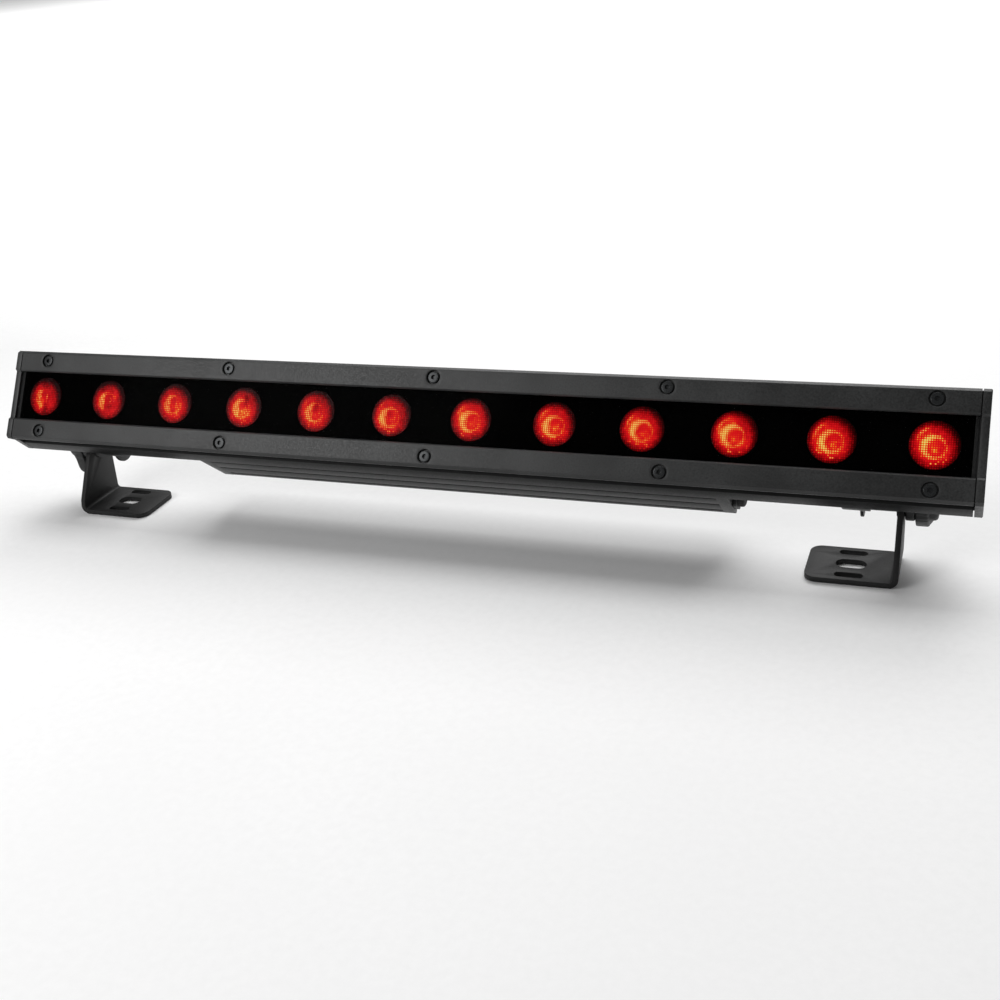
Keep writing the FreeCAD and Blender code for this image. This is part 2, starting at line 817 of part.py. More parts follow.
def pivot_bolt():
    """Bolt through ear, spacer, foot and knob; its hexagonal head lies on the ear."""
    x0 = ear_outer_x - ear_thickness
    shank = rod(pivot_axis_point(x0), V(1, 0, 0), pivot_r, knob_inner_x + bolt_end - x0)
    head = hexagon(pivot_axis_point(x0), V(-1, 0, 0), bolt_head_af, bolt_head_height)
    return shank.fuse(head).removeSplitter()


def tube(x0, x1, r):
    """Ring on the pivot bolt."""
    return rod(pivot_axis_point(x0), V(1, 0, 0), r, x1 - x0).cut(
        rod(pivot_axis_point(x0 - over), V(1, 0, 0), pivot_r + thread_fit, x1 - x0 + 2 * over))


def spacer_tube():
    """Tube that keeps the ear and the foot apart."""
    return tube(ear_outer_x, arm_inner_x - slide_fit - washer_thickness, spacer_r)


def friction_washers():
    """Washers each side of the foot arm."""
    inner = arm_inner_x - slide_fit
    outer = arm_outer_x + slide_fit
    return group([tube(inner - washer_thickness, inner, washer_r),
                  tube(outer, outer + washer_thickness, washer_r)])


def clamp_collar():
    """Collar between the foot arm and the knob."""
    x0 = arm_outer_x + slide_fit + washer_thickness
    return tube(x0, x0 + collar_thickness, collar_r)


def clamp_knob(angle_deg):
    """Wing knob: a round hub and two lobes under a wide dome, turned by an angle about the bolt."""
    x = knob_inner_x
    arm = knob_reach - knob_lobe_r
    length = knob_rim + knob_crown
    hub = rod(V(x, 0, 0), V(1, 0, 0), knob_hub_r, length)
    lobes = [rod(V(x, 0, s * arm), V(1, 0, 0), knob_lobe_r, knob_rim) for s in (-1, 1)]
    nz = (knob_hub_r - knob_lobe_r) / arm
    ny = sqrt(1 - nz * nz)
    half_web = [(knob_hub_r * ny, knob_hub_r * nz), (knob_lobe_r * ny, arm + knob_lobe_r * nz)]
    flank = half_web + [(-y, z) for y, z in reversed(half_web)]
    web = section(flank + [(-y, -z) for y, z in flank], x, x + knob_rim)
    body = hub.fuse(lobes + [web]).removeSplitter()
    body = body.common(Part.makeSphere(knob_dome_r, V(x + length - knob_dome_r, 0, 0)))
    body = body.cut([rod(V(x - over, 0, 0), V(1, 0, 0), pivot_r + hole_fit, knob_bore_depth + over),
                     rod(V(x - over, 0, 0), V(1, 0, 0), knob_insert_r, knob_insert_length + over)])
    body.rotate(V(0, 0, 0), V(1, 0, 0), angle_deg)
    body.translate(V(0, pivot_depth, pivot_height))
    return body


def knob_insert():
    """Metal insert moulded into the knob, which runs on the bolt."""
    x = knob_inner_x
    ring = rod(pivot_axis_point(x), V(1, 0, 0), knob_insert_r, knob_insert_length)
    return ring.cut(rod(pivot_axis_point(x - over), V(1, 0, 0), pivot_r + running_fit,
                        knob_insert_length + 2 * over))


# ------------------------------------------------------------------ foot bracket, right side
def stadium(x, y, length, width):
    """Upright round-ended tool for a slot that runs along X."""
    r = width / 2
    half = length / 2 - r
    bar = box(x - half, x + half, y - r, y + r, -over, foot_thickness + over)
    ends = [rod(V(x + s * half, y, -over), V(0, 0, 1), r, foot_thickness + 2 * over) for s in (-1, 1)]
    return bar.fuse(ends)


def folded_strip():
    """Plate and arm as one folded strip, wider than the bracket, which its outline then trims."""
    t = foot_thickness
    ri = foot_bend_inner_r
    ro = ri + t
    y0 = -foot_width
    top = pivot_above_floor + foot_top_r + over
    x1 = arm_outer_x
    corner = V(x1 - ro, y0, ro)
    slant = sin(radians(45))
    outer = Part.Arc(V(x1 - ro, y0, 0), corner + V(ro * slant, 0, -ro * slant), V(x1, y0, ro)).toShape()
    inner = Part.Arc(V(x1 - t, y0, ro), corner + V(ri * slant, 0, -ri * slant), V(x1 - ro, y0, t)).toShape()
    run = [outer, Part.makeLine(V(x1, y0, ro), V(x1, y0, top)),
           Part.makeLine(V(x1, y0, top), V(x1 - t, y0, top)),
           Part.makeLine(V(x1 - t, y0, top), V(x1 - t, y0, ro)), inner,
           Part.makeLine(V(x1 - ro, y0, t), V(foot_free_x, y0, t)),
           Part.makeLine(V(foot_free_x, y0, t), V(foot_free_x, y0, 0)),
           Part.makeLine(V(foot_free_x, y0, 0), V(x1 - ro, y0, 0))]
    return Part.Face(Part.Wire(run)).extrude(V(0, 2 * foot_width, 0))


def arm_outline():
    """Side view of the arm: wide at the fold, round at the pivot."""
    half = foot_width / 2
    c = (pivot_setback, pivot_above_floor)
    knee = (-half + foot_neck_cut, foot_neck_height)
    far = hypot(knee[0] - c[0], knee[1] - c[1])
    ux = (knee[0] - c[0]) / far
    uz = (knee[1] - c[1]) / far
    a = foot_top_r / far
    b = sqrt(1 - a * a)
    tx = c[0] + foot_top_r * (ux * a + uz * b)
    tz = c[1] + foot_top_r * (uz * a - ux * b)
    rear = c[0] + foot_top_r
    x0 = arm_outer_x - foot_bend_inner_r - foot_thickness
    ring = [V(x0, -half, -over), V(x0, -half, foot_bend_inner_r + foot_thickness), V(x0, knee[0], knee[1]),
            V(x0, tx, tz)]
    edges = [Part.makeLine(a0, b0) for a0, b0 in zip(ring, ring[1:])]
    top = V(x0, c[0], c[1] + foot_top_r)
    edges.append(Part.Arc(ring[-1], top, V(x0, rear, c[1])).toShape())
    rear_side = [V(x0, rear, c[1]), V(x0, half, foot_bend_inner_r + foot_thickness),
                 V(x0, half, -over), ring[0]]
    edges += [Part.makeLine(a0, b0) for a0, b0 in zip(rear_side, rear_side[1:])]
    return Part.Face(Part.Wire(edges)).extrude(V(foot_length, 0, 0))


def foot_bracket():
    """Folded steel foot with three slots, a rounded arm and its pivot hole."""
    half = foot_width / 2
    x_fold = arm_outer_x - foot_bend_inner_r - foot_thickness
    plate = box(foot_free_x, x_fold, -half, half, 0, foot_thickness)
    boxes = [(e, e.BoundBox) for e in plate.Edges]
    corners = [e for e, b in boxes
               if abs(b.XMin - foot_free_x) < near and b.XLength < near and b.YLength < near]
    plate = plate.makeFillet(foot_corner_r, corners)
    foot = plate.fuse(folded_strip().common(arm_outline())).removeSplitter()
    tools = [stadium(slot_centre_x, 0, centre_slot_length, centre_slot_width)]
    for s in (-1, 1):
        tools.append(stadium(slot_centre_x, s * side_slot_offset, side_slot_length, side_slot_width))
    hole = V(arm_inner_x - over, pivot_setback, pivot_above_floor)
    tools.append(rod(hole, V(1, 0, 0), pivot_r + running_fit, foot_thickness + 2 * over))
    return foot.cut(tools)


# ------------------------------------------------------------------ all pieces
def main():
    """Build every piece and write it to its own file."""
    os.makedirs("parts", exist_ok=True)
    save("housing_extrusion", tilt(housing_extrusion()))
    for name, side in (("upper", 1), ("lower", -1)):
        save(name + "_bezel", tilt(bezel(side)))
        save(name + "_bezel_screws", tilt(bezel_screws(side)))
    save("window_glass", tilt(window_glass()))
    save("window_gasket", tilt(window_gasket()))
    save("lens_mask", tilt(lens_mask()))
    for i, x in enumerate(lens_places):
        save("lens_%02d" % (i + 1), tilt(lens(x)))
    save("lens_holders", tilt(lens_holders()))
    save("led_board", tilt(led_board()))
    save("led_chips", tilt(led_chips()))
    save("board_screws", tilt(board_screws()))
    save("driver_housing", tilt(driver_housing()))
    save("driver_mount_screws", tilt(driver_mount_screws()))
    save("power_supply", tilt(power_supply()))
    save("control_board", tilt(control_board()))
    save("lead_grommet", tilt(grommet()))
    save("led_lead", tilt(led_lead()))
    save("power_inlet", tilt(power_inlet()))
    save("inlet_cap", tilt(inlet_cap()))
    cap = driver_end_cap()
    save("driver_end_cap_right", tilt(cap))
    save("driver_end_cap_left", tilt(mirrored(cap, driver_shift)))
    paired = {
        "end_cap": end_cap(),
        "hinge_block": hinge_block(),
        "rail_screw": rail_screw(),
        "tee_nut": tee_nut(),
        "pivot_bolt": pivot_bolt(),
        "spacer_tube": spacer_tube(),
        "friction_washers": friction_washers(),
        "clamp_collar": clamp_collar(),
        "knob_insert": knob_insert(),
    }
    both_ends = {
        "end_cap_gaskets": (end_cap_gasket(), 0),
        "end_cap_screws": (end_cap_screws(), 0),
        "driver_end_screws": (driver_cap_screws(), driver_shift),
    }
    for name, (shape, shift) in both_ends.items():
        save(name, tilt(group([shape, mirrored(shape, shift)])))
    for name, shape in paired.items():
        save(name + "_right", tilt(shape))
        save(name + "_left", tilt(mirrored(shape)))
    save("clamp_knob_right", tilt(clamp_knob(tilt_deg + knob_angle_right)))
    save("clamp_knob_left", tilt(mirrored(clamp_knob(tilt_deg + knob_angle_left))))
    foot = foot_bracket()
    save("foot_bracket_right", foot)
    save("foot_bracket_left", mirrored(foot))


main()
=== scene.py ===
"""Looks of an LED strip batten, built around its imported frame.

The batten is drawn in its own axes, in millimetres: x along it, depth back from the bezel face and
height up from the line of lens centres. The frame gives the place and tilt of those axes.
"""

import json
import logging
from dataclasses import dataclass
from enum import Enum
from typing import Any, Sequence

import bmesh
import bpy
import numpy as np
from mathutils import Matrix, Vector


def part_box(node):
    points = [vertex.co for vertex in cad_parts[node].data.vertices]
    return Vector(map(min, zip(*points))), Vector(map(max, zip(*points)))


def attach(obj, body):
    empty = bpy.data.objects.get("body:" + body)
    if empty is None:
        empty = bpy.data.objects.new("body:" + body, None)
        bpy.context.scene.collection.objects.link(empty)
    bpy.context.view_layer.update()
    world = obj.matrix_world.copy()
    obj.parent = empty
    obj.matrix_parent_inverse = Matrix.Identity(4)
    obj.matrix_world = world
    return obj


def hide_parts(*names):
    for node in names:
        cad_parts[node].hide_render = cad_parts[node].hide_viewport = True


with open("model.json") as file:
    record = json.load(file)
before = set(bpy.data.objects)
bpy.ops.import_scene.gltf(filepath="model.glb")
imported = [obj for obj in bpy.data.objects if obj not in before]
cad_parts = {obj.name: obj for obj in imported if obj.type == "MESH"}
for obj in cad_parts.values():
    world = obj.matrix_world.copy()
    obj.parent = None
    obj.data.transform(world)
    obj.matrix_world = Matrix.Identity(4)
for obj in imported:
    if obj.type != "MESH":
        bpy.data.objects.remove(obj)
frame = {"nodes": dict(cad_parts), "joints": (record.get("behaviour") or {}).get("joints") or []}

Array = np.ndarray
LOG = logging.getLogger("batten")
MM = 0.001


class Named(Enum):
    """Choice whose name is a word in the names of nodes and pieces."""

    @property
    def word(self) -> str:
        """Name in small letters."""
        return self.name.lower()


class Side(Named):
    """End of the batten, seen from its lit front; the value is the sign of x."""

    LEFT = -1
    RIGHT = 1


class Bar(Named):
    """Bezel bar above or below the window; the value is the sign of its height."""

    UPPER = 1
    LOWER = -1


class Around(Enum):
    """Direction of the axis that a turned surface goes round."""

    LENGTH = "x"
    DEPTH = "depth"


# Tilt of the batten and the angle of each knob from there, in degrees. Thicknesses of the ear and
# foot plates, and depth of the middle of the pane behind the bezel face, in millimetres.
TILT_DEG = 32.4
KNOB_REST_DEG = {Side.LEFT: -5.0, Side.RIGHT: 40.0}
EAR_THICKNESS = 2.8
FOOT_THICKNESS = 5.0
PANE_DEPTH = 3.5
# Lenses in the row, and screws along each bezel bar.
LENSES = 12
SCREWS = 5


# ---------------------------------------------------------------------------------- axes
@dataclass(frozen=True)
class Axes:
    """Place and directions of the batten, in metres in the part's frame."""

    origin: Array
    back: Array
    up: Array

    @classmethod
    def from_frame(cls, pane_depth_mm: float) -> "Axes":
        """Read the axes from the window pane, a long flat box.

        Args:
            pane_depth_mm: depth of the middle of the pane behind the bezel face.

        Returns:
            Axes whose origin is on the bezel face, at the line of lens centres.
        """
        mesh = bpy.data.objects["window_glass"].data
        points = np.empty(len(mesh.vertices) * 3)
        mesh.vertices.foreach_get("co", points)
        points = np.unique(points.reshape(-1, 3).round(6), axis=0)
        middle = (points.min(0) + points.max(0)) / 2
        thin = np.linalg.svd(points - points.mean(0))[2][2]
        back = thin * np.sign(thin[1])
        up = np.array([0.0, -back[2], back[1]])
        return cls(middle - back * pane_depth_mm * MM, back, up)

    def place(self, points: Array) -> Array:
        """Turn (x, depth, height) in millimetres into metres in the part's frame."""
        basis = np.stack([np.array([1.0, 0.0, 0.0]), self.back, self.up])
        return self.origin + np.asarray(points, float) @ basis * MM

    def section_place(self, point: Sequence[float]) -> tuple[float, float]:
        """Depth and height in millimetres of a point given in metres in the part's frame."""
        away = np.array(point) - self.origin
        return float(away @ self.back / MM), float(away @ self.up / MM)


# ---------------------------------------------------------------------------------- surfaces
def linked(name: str, data: bpy.types.ID) -> bpy.types.Object:
    """New object at the origin that shows the given mesh, light or camera.

    Args:
        name: name of the object.
        data: mesh, light or camera.

    Returns:
        The object, in the scene.
    """
    made = bpy.data.objects.new(name, data)
    bpy.context.scene.collection.objects.link(made)
    return made


def quads(rows: int, columns: int, wrap: bool) -> Array:
    """Corner numbers of the quads of a grid of points.

    Args:
        rows: rows of points.
        columns: points in each row.
        wrap: whether the last column joins the first.

    Returns:
        Array of four point numbers for each quad.
    """
    row = np.arange(rows - 1)[:, None]
    column = np.arange(columns if wrap else columns - 1)[None, :]
    after = (column + 1) % columns
    corners = [row * columns + column, row * columns + after]
    corners += [(row + 1) * columns + after, (row + 1) * columns + column]
    return np.stack(corners, -1).reshape(-1, 4)


def soften(corners: Array, radius: float, steps: int = 3) -> Array:
    """Outline with every corner rounded.

    Each corner gives way to an arc tangent to its two sides: its tangent length is
    radius / tan(half the corner's angle), limited to 0.45 of the shorter side.

    Args:
        corners: closed outline, one row for each corner.
        radius: radius of the arcs.
        steps: parts of each arc.

    Returns:
        Array of shape (corners, steps + 1, 2), the arcs in order.
    """
    sides = [np.roll(corners, 1, 0) - corners, np.roll(corners, -1, 0) - corners]
    lengths = [np.linalg.norm(side, axis=1, keepdims=True) for side in sides]
    units = [side / length for side, length in zip(sides, lengths)]
    half = np.arccos(np.clip((units[0] * units[1]).sum(1, keepdims=True), -0.9999, 0.9999)) / 2
    reach = np.minimum(radius / np.tan(half), 0.45 * np.minimum(*lengths))
    bisector = units[0] + units[1]
    bisector /= np.linalg.norm(bisector, axis=1, keepdims=True)
    centre = corners + bisector * reach / np.cos(half)
    start = corners + units[0] * reach - centre
    end = corners + units[1] * reach - centre
    sweep = (np.pi - 2 * half)[:, None]
    share = np.linspace(0, 1, steps + 1)[None, :, None]
    arcs = np.sin((1 - share) * sweep) * start[:, None] + np.sin(share * sweep) * end[:, None]
    return centre[:, None] + arcs / np.sin(sweep)


def hexagon_radius(angles: Array, across_flats: float) -> Array:
    """Distance from the centre of a hexagon to its side, at each angle."""
    part = np.mod(angles + np.pi / 6, np.pi / 3) - np.pi / 6
    return across_flats / 2 / np.cos(part)


class Shell:
    """Closed surface gathered from grids and flat ends, in the batten's millimetres."""

    weld_mm = 0.004

    def __init__(self, axes: Axes) -> None:
        """Start an empty surface."""
        self.axes = axes
        self.points: list[Array] = []
        self.faces: list[list[int]] = []
        self.count = 0
        self.heat: list[Array] = []

    def grid(self, points: Array, wrap: bool = False, heat: Array | None = None) -> None:
        """Add a grid of points of shape (rows, columns, 3).

        Args:
            points: array of shape (rows, columns, 3).
            wrap: whether the last column joins the first.
            heat: glow at each point, or None for no glow.
        """
        rows, columns = points.shape[:2]
        self.faces += (quads(rows, columns, wrap) + self.count).tolist()
        self._take(points.reshape(-1, 3), heat)

    def flat(self, points: Array) -> None:
        """Add one flat face with any number of corners."""
        self.faces.append(list(range(self.count, self.count + len(points))))
        self._take(points, None)

    def _take(self, points: Array, heat: Array | None) -> None:
        """Keep points and their heat, which is how strongly a lens glows there.

        Args:
            points: points to keep.
            heat: glow at each point, or None for no glow.
        """
        self.points.append(points)
        self.heat.append(np.zeros(len(points)) if heat is None else heat.reshape(-1))
        self.count += len(points)

    def build(self, name: str, smooth_deg: float = 32.0) -> bpy.types.Object:
        """Make the object: seams welded, faces outwards, sharp edges kept sharp.

        Args:
            name: name of the piece.
            smooth_deg: edges that turn less than this are shaded smooth.

        Returns:
            The new object, at the origin.
        """
        mesh = bpy.data.meshes.new(name)
        mesh.from_pydata(self.axes.place(np.concatenate(self.points)), [], self.faces)
        heat = mesh.attributes.new("lens_glow", "FLOAT", "POINT")
        heat.data.foreach_set("value", np.concatenate(self.heat).astype(np.float32))
        work = bmesh.new()
        work.from_mesh(mesh)
        bmesh.ops.remove_doubles(work, verts=work.verts, dist=self.weld_mm * MM)
        bmesh.ops.recalc_face_normals(work, faces=work.faces)
        work.to_mesh(mesh)
        work.free()
        mesh.polygons.foreach_set("use_smooth", np.ones(len(mesh.polygons), bool))
        mesh.set_sharp_from_angle(angle=np.radians(smooth_deg))
        return linked(name, mesh)


def extrude(shell: Shell, outline: Array, x0: float, x1: float) -> None:
    """Carry a closed (depth, height) outline along x and close both ends.

    Args:
        shell: surface to add to.
        outline: closed outline.
        x0: first end.
        x1: other end.
    """
    rows = [np.column_stack([np.full(len(outline), x), outline]) for x in (x0, x1)]
    shell.grid(np.stack(rows), wrap=True)
    shell.flat(rows[0])
    shell.flat(rows[-1])


def circle(count: int) -> Array:
    """Evenly spaced angles of a full turn."""
    return np.arange(count) * 2 * np.pi / count


def bell(*offsets: Array) -> Array:
    """Bell curve of one or more offsets, each measured in its own widths."""
    return np.exp(-sum(offset ** 2 for offset in offsets))


def turn(shell: Shell, centre: Sequence[float], axis: Around, radii: Array, along: Array,
         count: int = 48) -> None:
    """Surface of rings about an axis: a radius and a place along the axis for each ring.

    Args:
        shell: surface to add to.
        centre: point of the axis where along is zero.
        axis: direction of the axis.
        radii: one radius for each ring, or one for each ring and angle.
        along: place of each ring on the axis.
        count: points in a ring.
    """
    angle = circle(count)
    radii = np.broadcast_to(np.asarray(radii, float).reshape(len(along), -1), (len(along), count))
    run = np.broadcast_to(np.asarray(along, float)[:, None], radii.shape)
    one = radii * np.cos(angle)
    two = radii * np.sin(angle)
    parts = [run, one, two] if axis is Around.LENGTH else [one, run, two]
    shell.grid(np.stack(parts, -1) + np.asarray(centre, float), wrap=True)


# ---------------------------------------------------------------------------------- finishes
def linear(colour: str) -> tuple[float, float, float, float]:
    """Linear RGBA of an sRGB hex colour.

    Args:
        colour: colour as #rrggbb.

    Returns:
        Red, green, blue and an alpha of one.
    """
    value = np.array([int(colour[i:i + 2], 16) for i in (1, 3, 5)]) / 255
    curve = np.where(value <= 0.04045, value / 12.92, ((value + 0.055) / 1.055) ** 2.4)
    return (*curve.tolist(), 1.0)


def add(tree: bpy.types.NodeTree, kind: str, sockets: dict[Any, Any] | None = None, **settings: Any) -> Any:
    """Add a node with its settings, values and links.

    Args:
        tree: node tree.
        kind: node type.
        sockets: input name or number, to a value or to the output that feeds it.
        settings: properties of the node.

    Returns:
        The new node.
    """
    node = tree.nodes.new(kind)
    for name, value in settings.items():
        setattr(node, name, value)
    for socket, value in (sockets or {}).items():
        if isinstance(value, bpy.types.NodeSocket):
            tree.links.new(value, node.inputs[socket])
        else:
            node.inputs[socket].default_value = value
    return node


def blank_material(name: str) -> tuple[bpy.types.Material, bpy.types.NodeTree, bpy.types.Node]:
    """New material, its node tree and its main shader.

    Args:
        name: name of the material.

    Returns:
        The material, its node tree and its main shader.
    """
    made = bpy.data.materials.new(name)
    made.use_nodes = True
    return made, made.node_tree, made.node_tree.nodes["Principled BSDF"]


@dataclass(frozen=True)
class Finish:
    """Solid finish with a grain: two close colours, a varied roughness and a fine relief.

    grain_mm is the size of the relief, patch_mm of the slow change of colour, stretch is how many
    times longer the grain is along x than across it, and blend_span is where the noise turns from
    the first colour to the second.
    """

    name: str
    colour: str
    second: str
    roughness: float
    roughness_spread: float
    grain_mm: float
    relief_mm: float
    patch_mm: float = 60.0
    metallic: float = 0.0
    ior: float = 1.5
    stretch: float = 1.0
    blend_span: tuple[float, float] = (0.14, 0.38)

    def material(self) -> bpy.types.Material:
        """The finish as a new material.

        Returns:
            The material, with a noise grain behind colour, roughness and relief.
        """
        made, tree, shader = blank_material(self.name)
        place = add(tree, "ShaderNodeTexCoord").outputs["Object"]
        if self.stretch != 1.0:
            scale = (1 / self.stretch, 1.0, 1.0)
            place = add(tree, "ShaderNodeMapping", {"Vector": place, "Scale": scale}).outputs[0]
        grain = add(tree, "ShaderNodeTexNoise",
                    {"Vector": place, "Scale": 1 / (self.grain_mm * MM), "Detail": 3.0, "Roughness": 0.6})
        patch = add(tree, "ShaderNodeTexNoise",
                    {"Vector": place, "Scale": 1 / (self.patch_mm * MM), "Detail": 2.0})
        blend = add(tree, "ShaderNodeMath", {0: grain.outputs[0], 1: patch.outputs[0]}, operation="MULTIPLY")
        ramp = add(tree, "ShaderNodeValToRGB", {"Fac": blend.outputs[0]})
        colours = (self.colour, self.second)
        for knot, position, colour in zip(ramp.color_ramp.elements, self.blend_span, colours):
            knot.position = position
            knot.color = linear(colour)
        rough = add(tree, "ShaderNodeMapRange",
                    {"Value": grain.outputs[0], "From Min": 0.3, "From Max": 0.7,
                     "To Min": self.roughness - self.roughness_spread,
                     "To Max": self.roughness + self.roughness_spread})
        bump = add(tree, "ShaderNodeBump",
                   {"Height": grain.outputs[0], "Distance": self.relief_mm * MM, "Strength": 1.0})
        tree.links.new(ramp.outputs[0], shader.inputs["Base Color"])
        tree.links.new(rough.outputs[0], shader.inputs["Roughness"])
        tree.links.new(bump.outputs[0], shader.inputs["Normal"])
        shader.inputs["Metallic"].default_value = self.metallic
        shader.inputs["IOR"].default_value = self.ior
        return made


# Fine-texture polyester powder coat on aluminium: satin, with a faint orange peel. The grain is
# drawn at about 1.5 mm, three times coarser than real, so that it shows at arm's length.
POWDER_COAT = Finish("powder_coated_aluminium", "#0f1010", "#2e2f2f", 0.46, 0.12, 1.5, 0.1)
# The extruded back carries the same coat, a little duller, in darker colours that are painted shade for the
# dim light on its back and underside; its low index keeps the sheen down.
POWDER_COAT_SHADED = Finish("powder_coated_extrusion", "#0a0b0b", "#161717", 0.5, 0.07, 1.5, 0.04, ior=1.34)
# Die-cast ends of the driver box, coated over a coarser casting skin.
COATED_CASTING = Finish("powder_coated_casting", "#161717", "#292a2a", 0.48, 0.08, 2.2, 0.06)
# Textured coat on folded steel, in colours set darker than the bezels' coat: partly its own black and partly
# painted shade for the dim light under the batten. It also has a low index to keep the sheen of its flat
# plates down.
POWDER_COAT_STEEL_SHADED = Finish("powder_coated_steel", "#0e0e0e", "#222222", 0.5, 0.08, 1.3, 0.1, ior=1.38)
# Black oxide on screw steel: dark, slightly metallic and smoother than the coat.
BLACK_OXIDE = Finish("black_oxide_steel", "#262728", "#363839", 0.3, 0.08, 0.8, 0.01, metallic=0.6)
# Bright zinc plate with a faint blue passivation, cloudy at the scale of a few millimetres.
ZINC = Finish("zinc_plated_steel", "#8f9497", "#b4b6b3", 0.33, 0.08, 2.5, 0.006, patch_mm=6.0, metallic=1.0)
# Spark-eroded moulding skin on black nylon.
NYLON = Finish("moulded_nylon", "#161717", "#202121", 0.56, 0.08, 0.9, 0.03)
# Soft black rubber, matte with a dusty bloom.
RUBBER = Finish("epdm_rubber", "#121313", "#1c1c1c", 0.74, 0.06, 0.8, 0.02)
# Mask behind the pane: polycarbonate dyed black, with hardly any sheen.
MASK = Finish("matte_black_polycarbonate", "#010101", "#020202", 0.9, 0.05, 0.8, 0.01, ior=1.08)
# Green solder mask over a metal-core board.
BOARD = Finish("solder_mask", "#0c3a20", "#12492a", 0.4, 0.05, 0.6, 0.01)
# Ceramic chip bodies under a yellow phosphor dome.
CHIP = Finish("phosphor_silicone", "#c79a2e", "#e0b544", 0.3, 0.05, 0.5, 0.005)
# Drawn aluminium case, with its grain along the length.
DRAWN = Finish("drawn_aluminium", "#9a9c9e", "#b7b9ba", 0.38, 0.06, 0.9, 0.01, metallic=1.0, stretch=30.0)
# Turned brass insert.
BRASS = Finish("turned_brass", "#a8853c", "#c29b4b", 0.28, 0.05, 0.7, 0.005, metallic=1.0)


@dataclass(frozen=True)
class Pane:
    """Tempered glass in front of the lenses: nearly invisible, with a trace of dark tint."""

    name: str = "tempered_glass"
    tint: str = "#030303"
    cover: float = 0.12

    def material(self) -> bpy.types.Material:
        """The pane as a see-through glossy surface.

        Returns:
            The material, with a low alpha and a slow change of roughness.
        """
        made, tree, shader = blank_material(self.name)
        place = add(tree, "ShaderNodeTexCoord").outputs["Object"]
        haze = add(tree, "ShaderNodeTexNoise", {"Vector": place, "Scale": 9.0, "Detail": 2.0})
        rough = add(tree, "ShaderNodeMapRange", {"Value": haze.outputs[0], "To Min": 0.03, "To Max": 0.12})
        tree.links.new(rough.outputs[0], shader.inputs["Roughness"])
        shader.inputs["Base Color"].default_value = linear(self.tint)
        shader.inputs["Alpha"].default_value = self.cover
        shader.inputs["IOR"].default_value = 1.5
        shader.inputs["Specular IOR Level"].default_value = 0.012
        return made


@dataclass(frozen=True)
class LitLens:
    """Moulded acrylic lens with its chip switched on.

    The glow runs with the heat kept at each point of the lens: deep red where little light
    leaves, clear red over most of it, and orange to pale yellow where the chip shows through.
    The chip's image and its highlights are painted into the glow, fixed to each lens as seen from one side.
    """

    name: str = "lit_acrylic"
    strength: float = 1.0

    def material(self) -> bpy.types.Material:
        """The lens as a glossy surface that gives off its own colour.

        Returns:
            The material, which reads the lens_glow attribute of the mesh.
        """
        made, tree, shader = blank_material(self.name)
        heat = add(tree, "ShaderNodeAttribute", attribute_name="lens_glow", attribute_type="GEOMETRY")
        ramp = add(tree, "ShaderNodeValToRGB", {"Fac": heat.outputs["Fac"]})
        stops = [(0.0, "#0c0000"), (0.2, "#4e0003"), (0.38, "#a2050a"), (0.54, "#dc1018"), (0.64, "#f2141a"),
                 (0.76, "#f5281a"), (0.84, "#f97d18"), (0.92, "#ffc42c"), (1.0, "#ffe682")]
        knots = ramp.color_ramp.elements
        while len(knots) < len(stops):
            knots.new(0.5)
        for knot, (position, colour) in zip(knots, stops):
            knot.position = position
            knot.color = linear(colour)
        tree.links.new(ramp.outputs[0], shader.inputs["Emission Color"])
        shader.inputs["Emission Strength"].default_value = self.strength
        shader.inputs["Base Color"].default_value = linear("#1a0102")
        shader.inputs["Roughness"].default_value = 0.22
        shader.inputs["IOR"].default_value = 1.49
        shader.inputs["Specular IOR Level"].default_value = 0.05
        return made


def dress(piece: bpy.types.Object, finish: Finish | Pane | LitLens) -> None:
    """Give a piece one finish all over; its material is made the first time.

    Args:
        piece: piece or node to dress.
        finish: its finish.
    """
    known = bpy.data.materials.get(finish.name)
    piece.data.materials.clear()
    piece.data.materials.append(known or finish.material())


def stand_for(piece: bpy.types.Object, finish: Finish | LitLens, body: str, slot: str, *nodes: str) -> None:
    """Dress a piece, let it ride on a body and let it replace its plain nodes.

    Args:
        piece: new piece.
        finish: its finish.
        body: body it rides on.
        slot: material slot of the record; not used.
        nodes: plain nodes it stands for.
    """
    dress(piece, finish)
    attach(piece, body)
    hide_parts(*nodes)
    LOG.info("%s: %d faces, for %s", piece.name, len(piece.data.polygons), ", ".join(nodes))


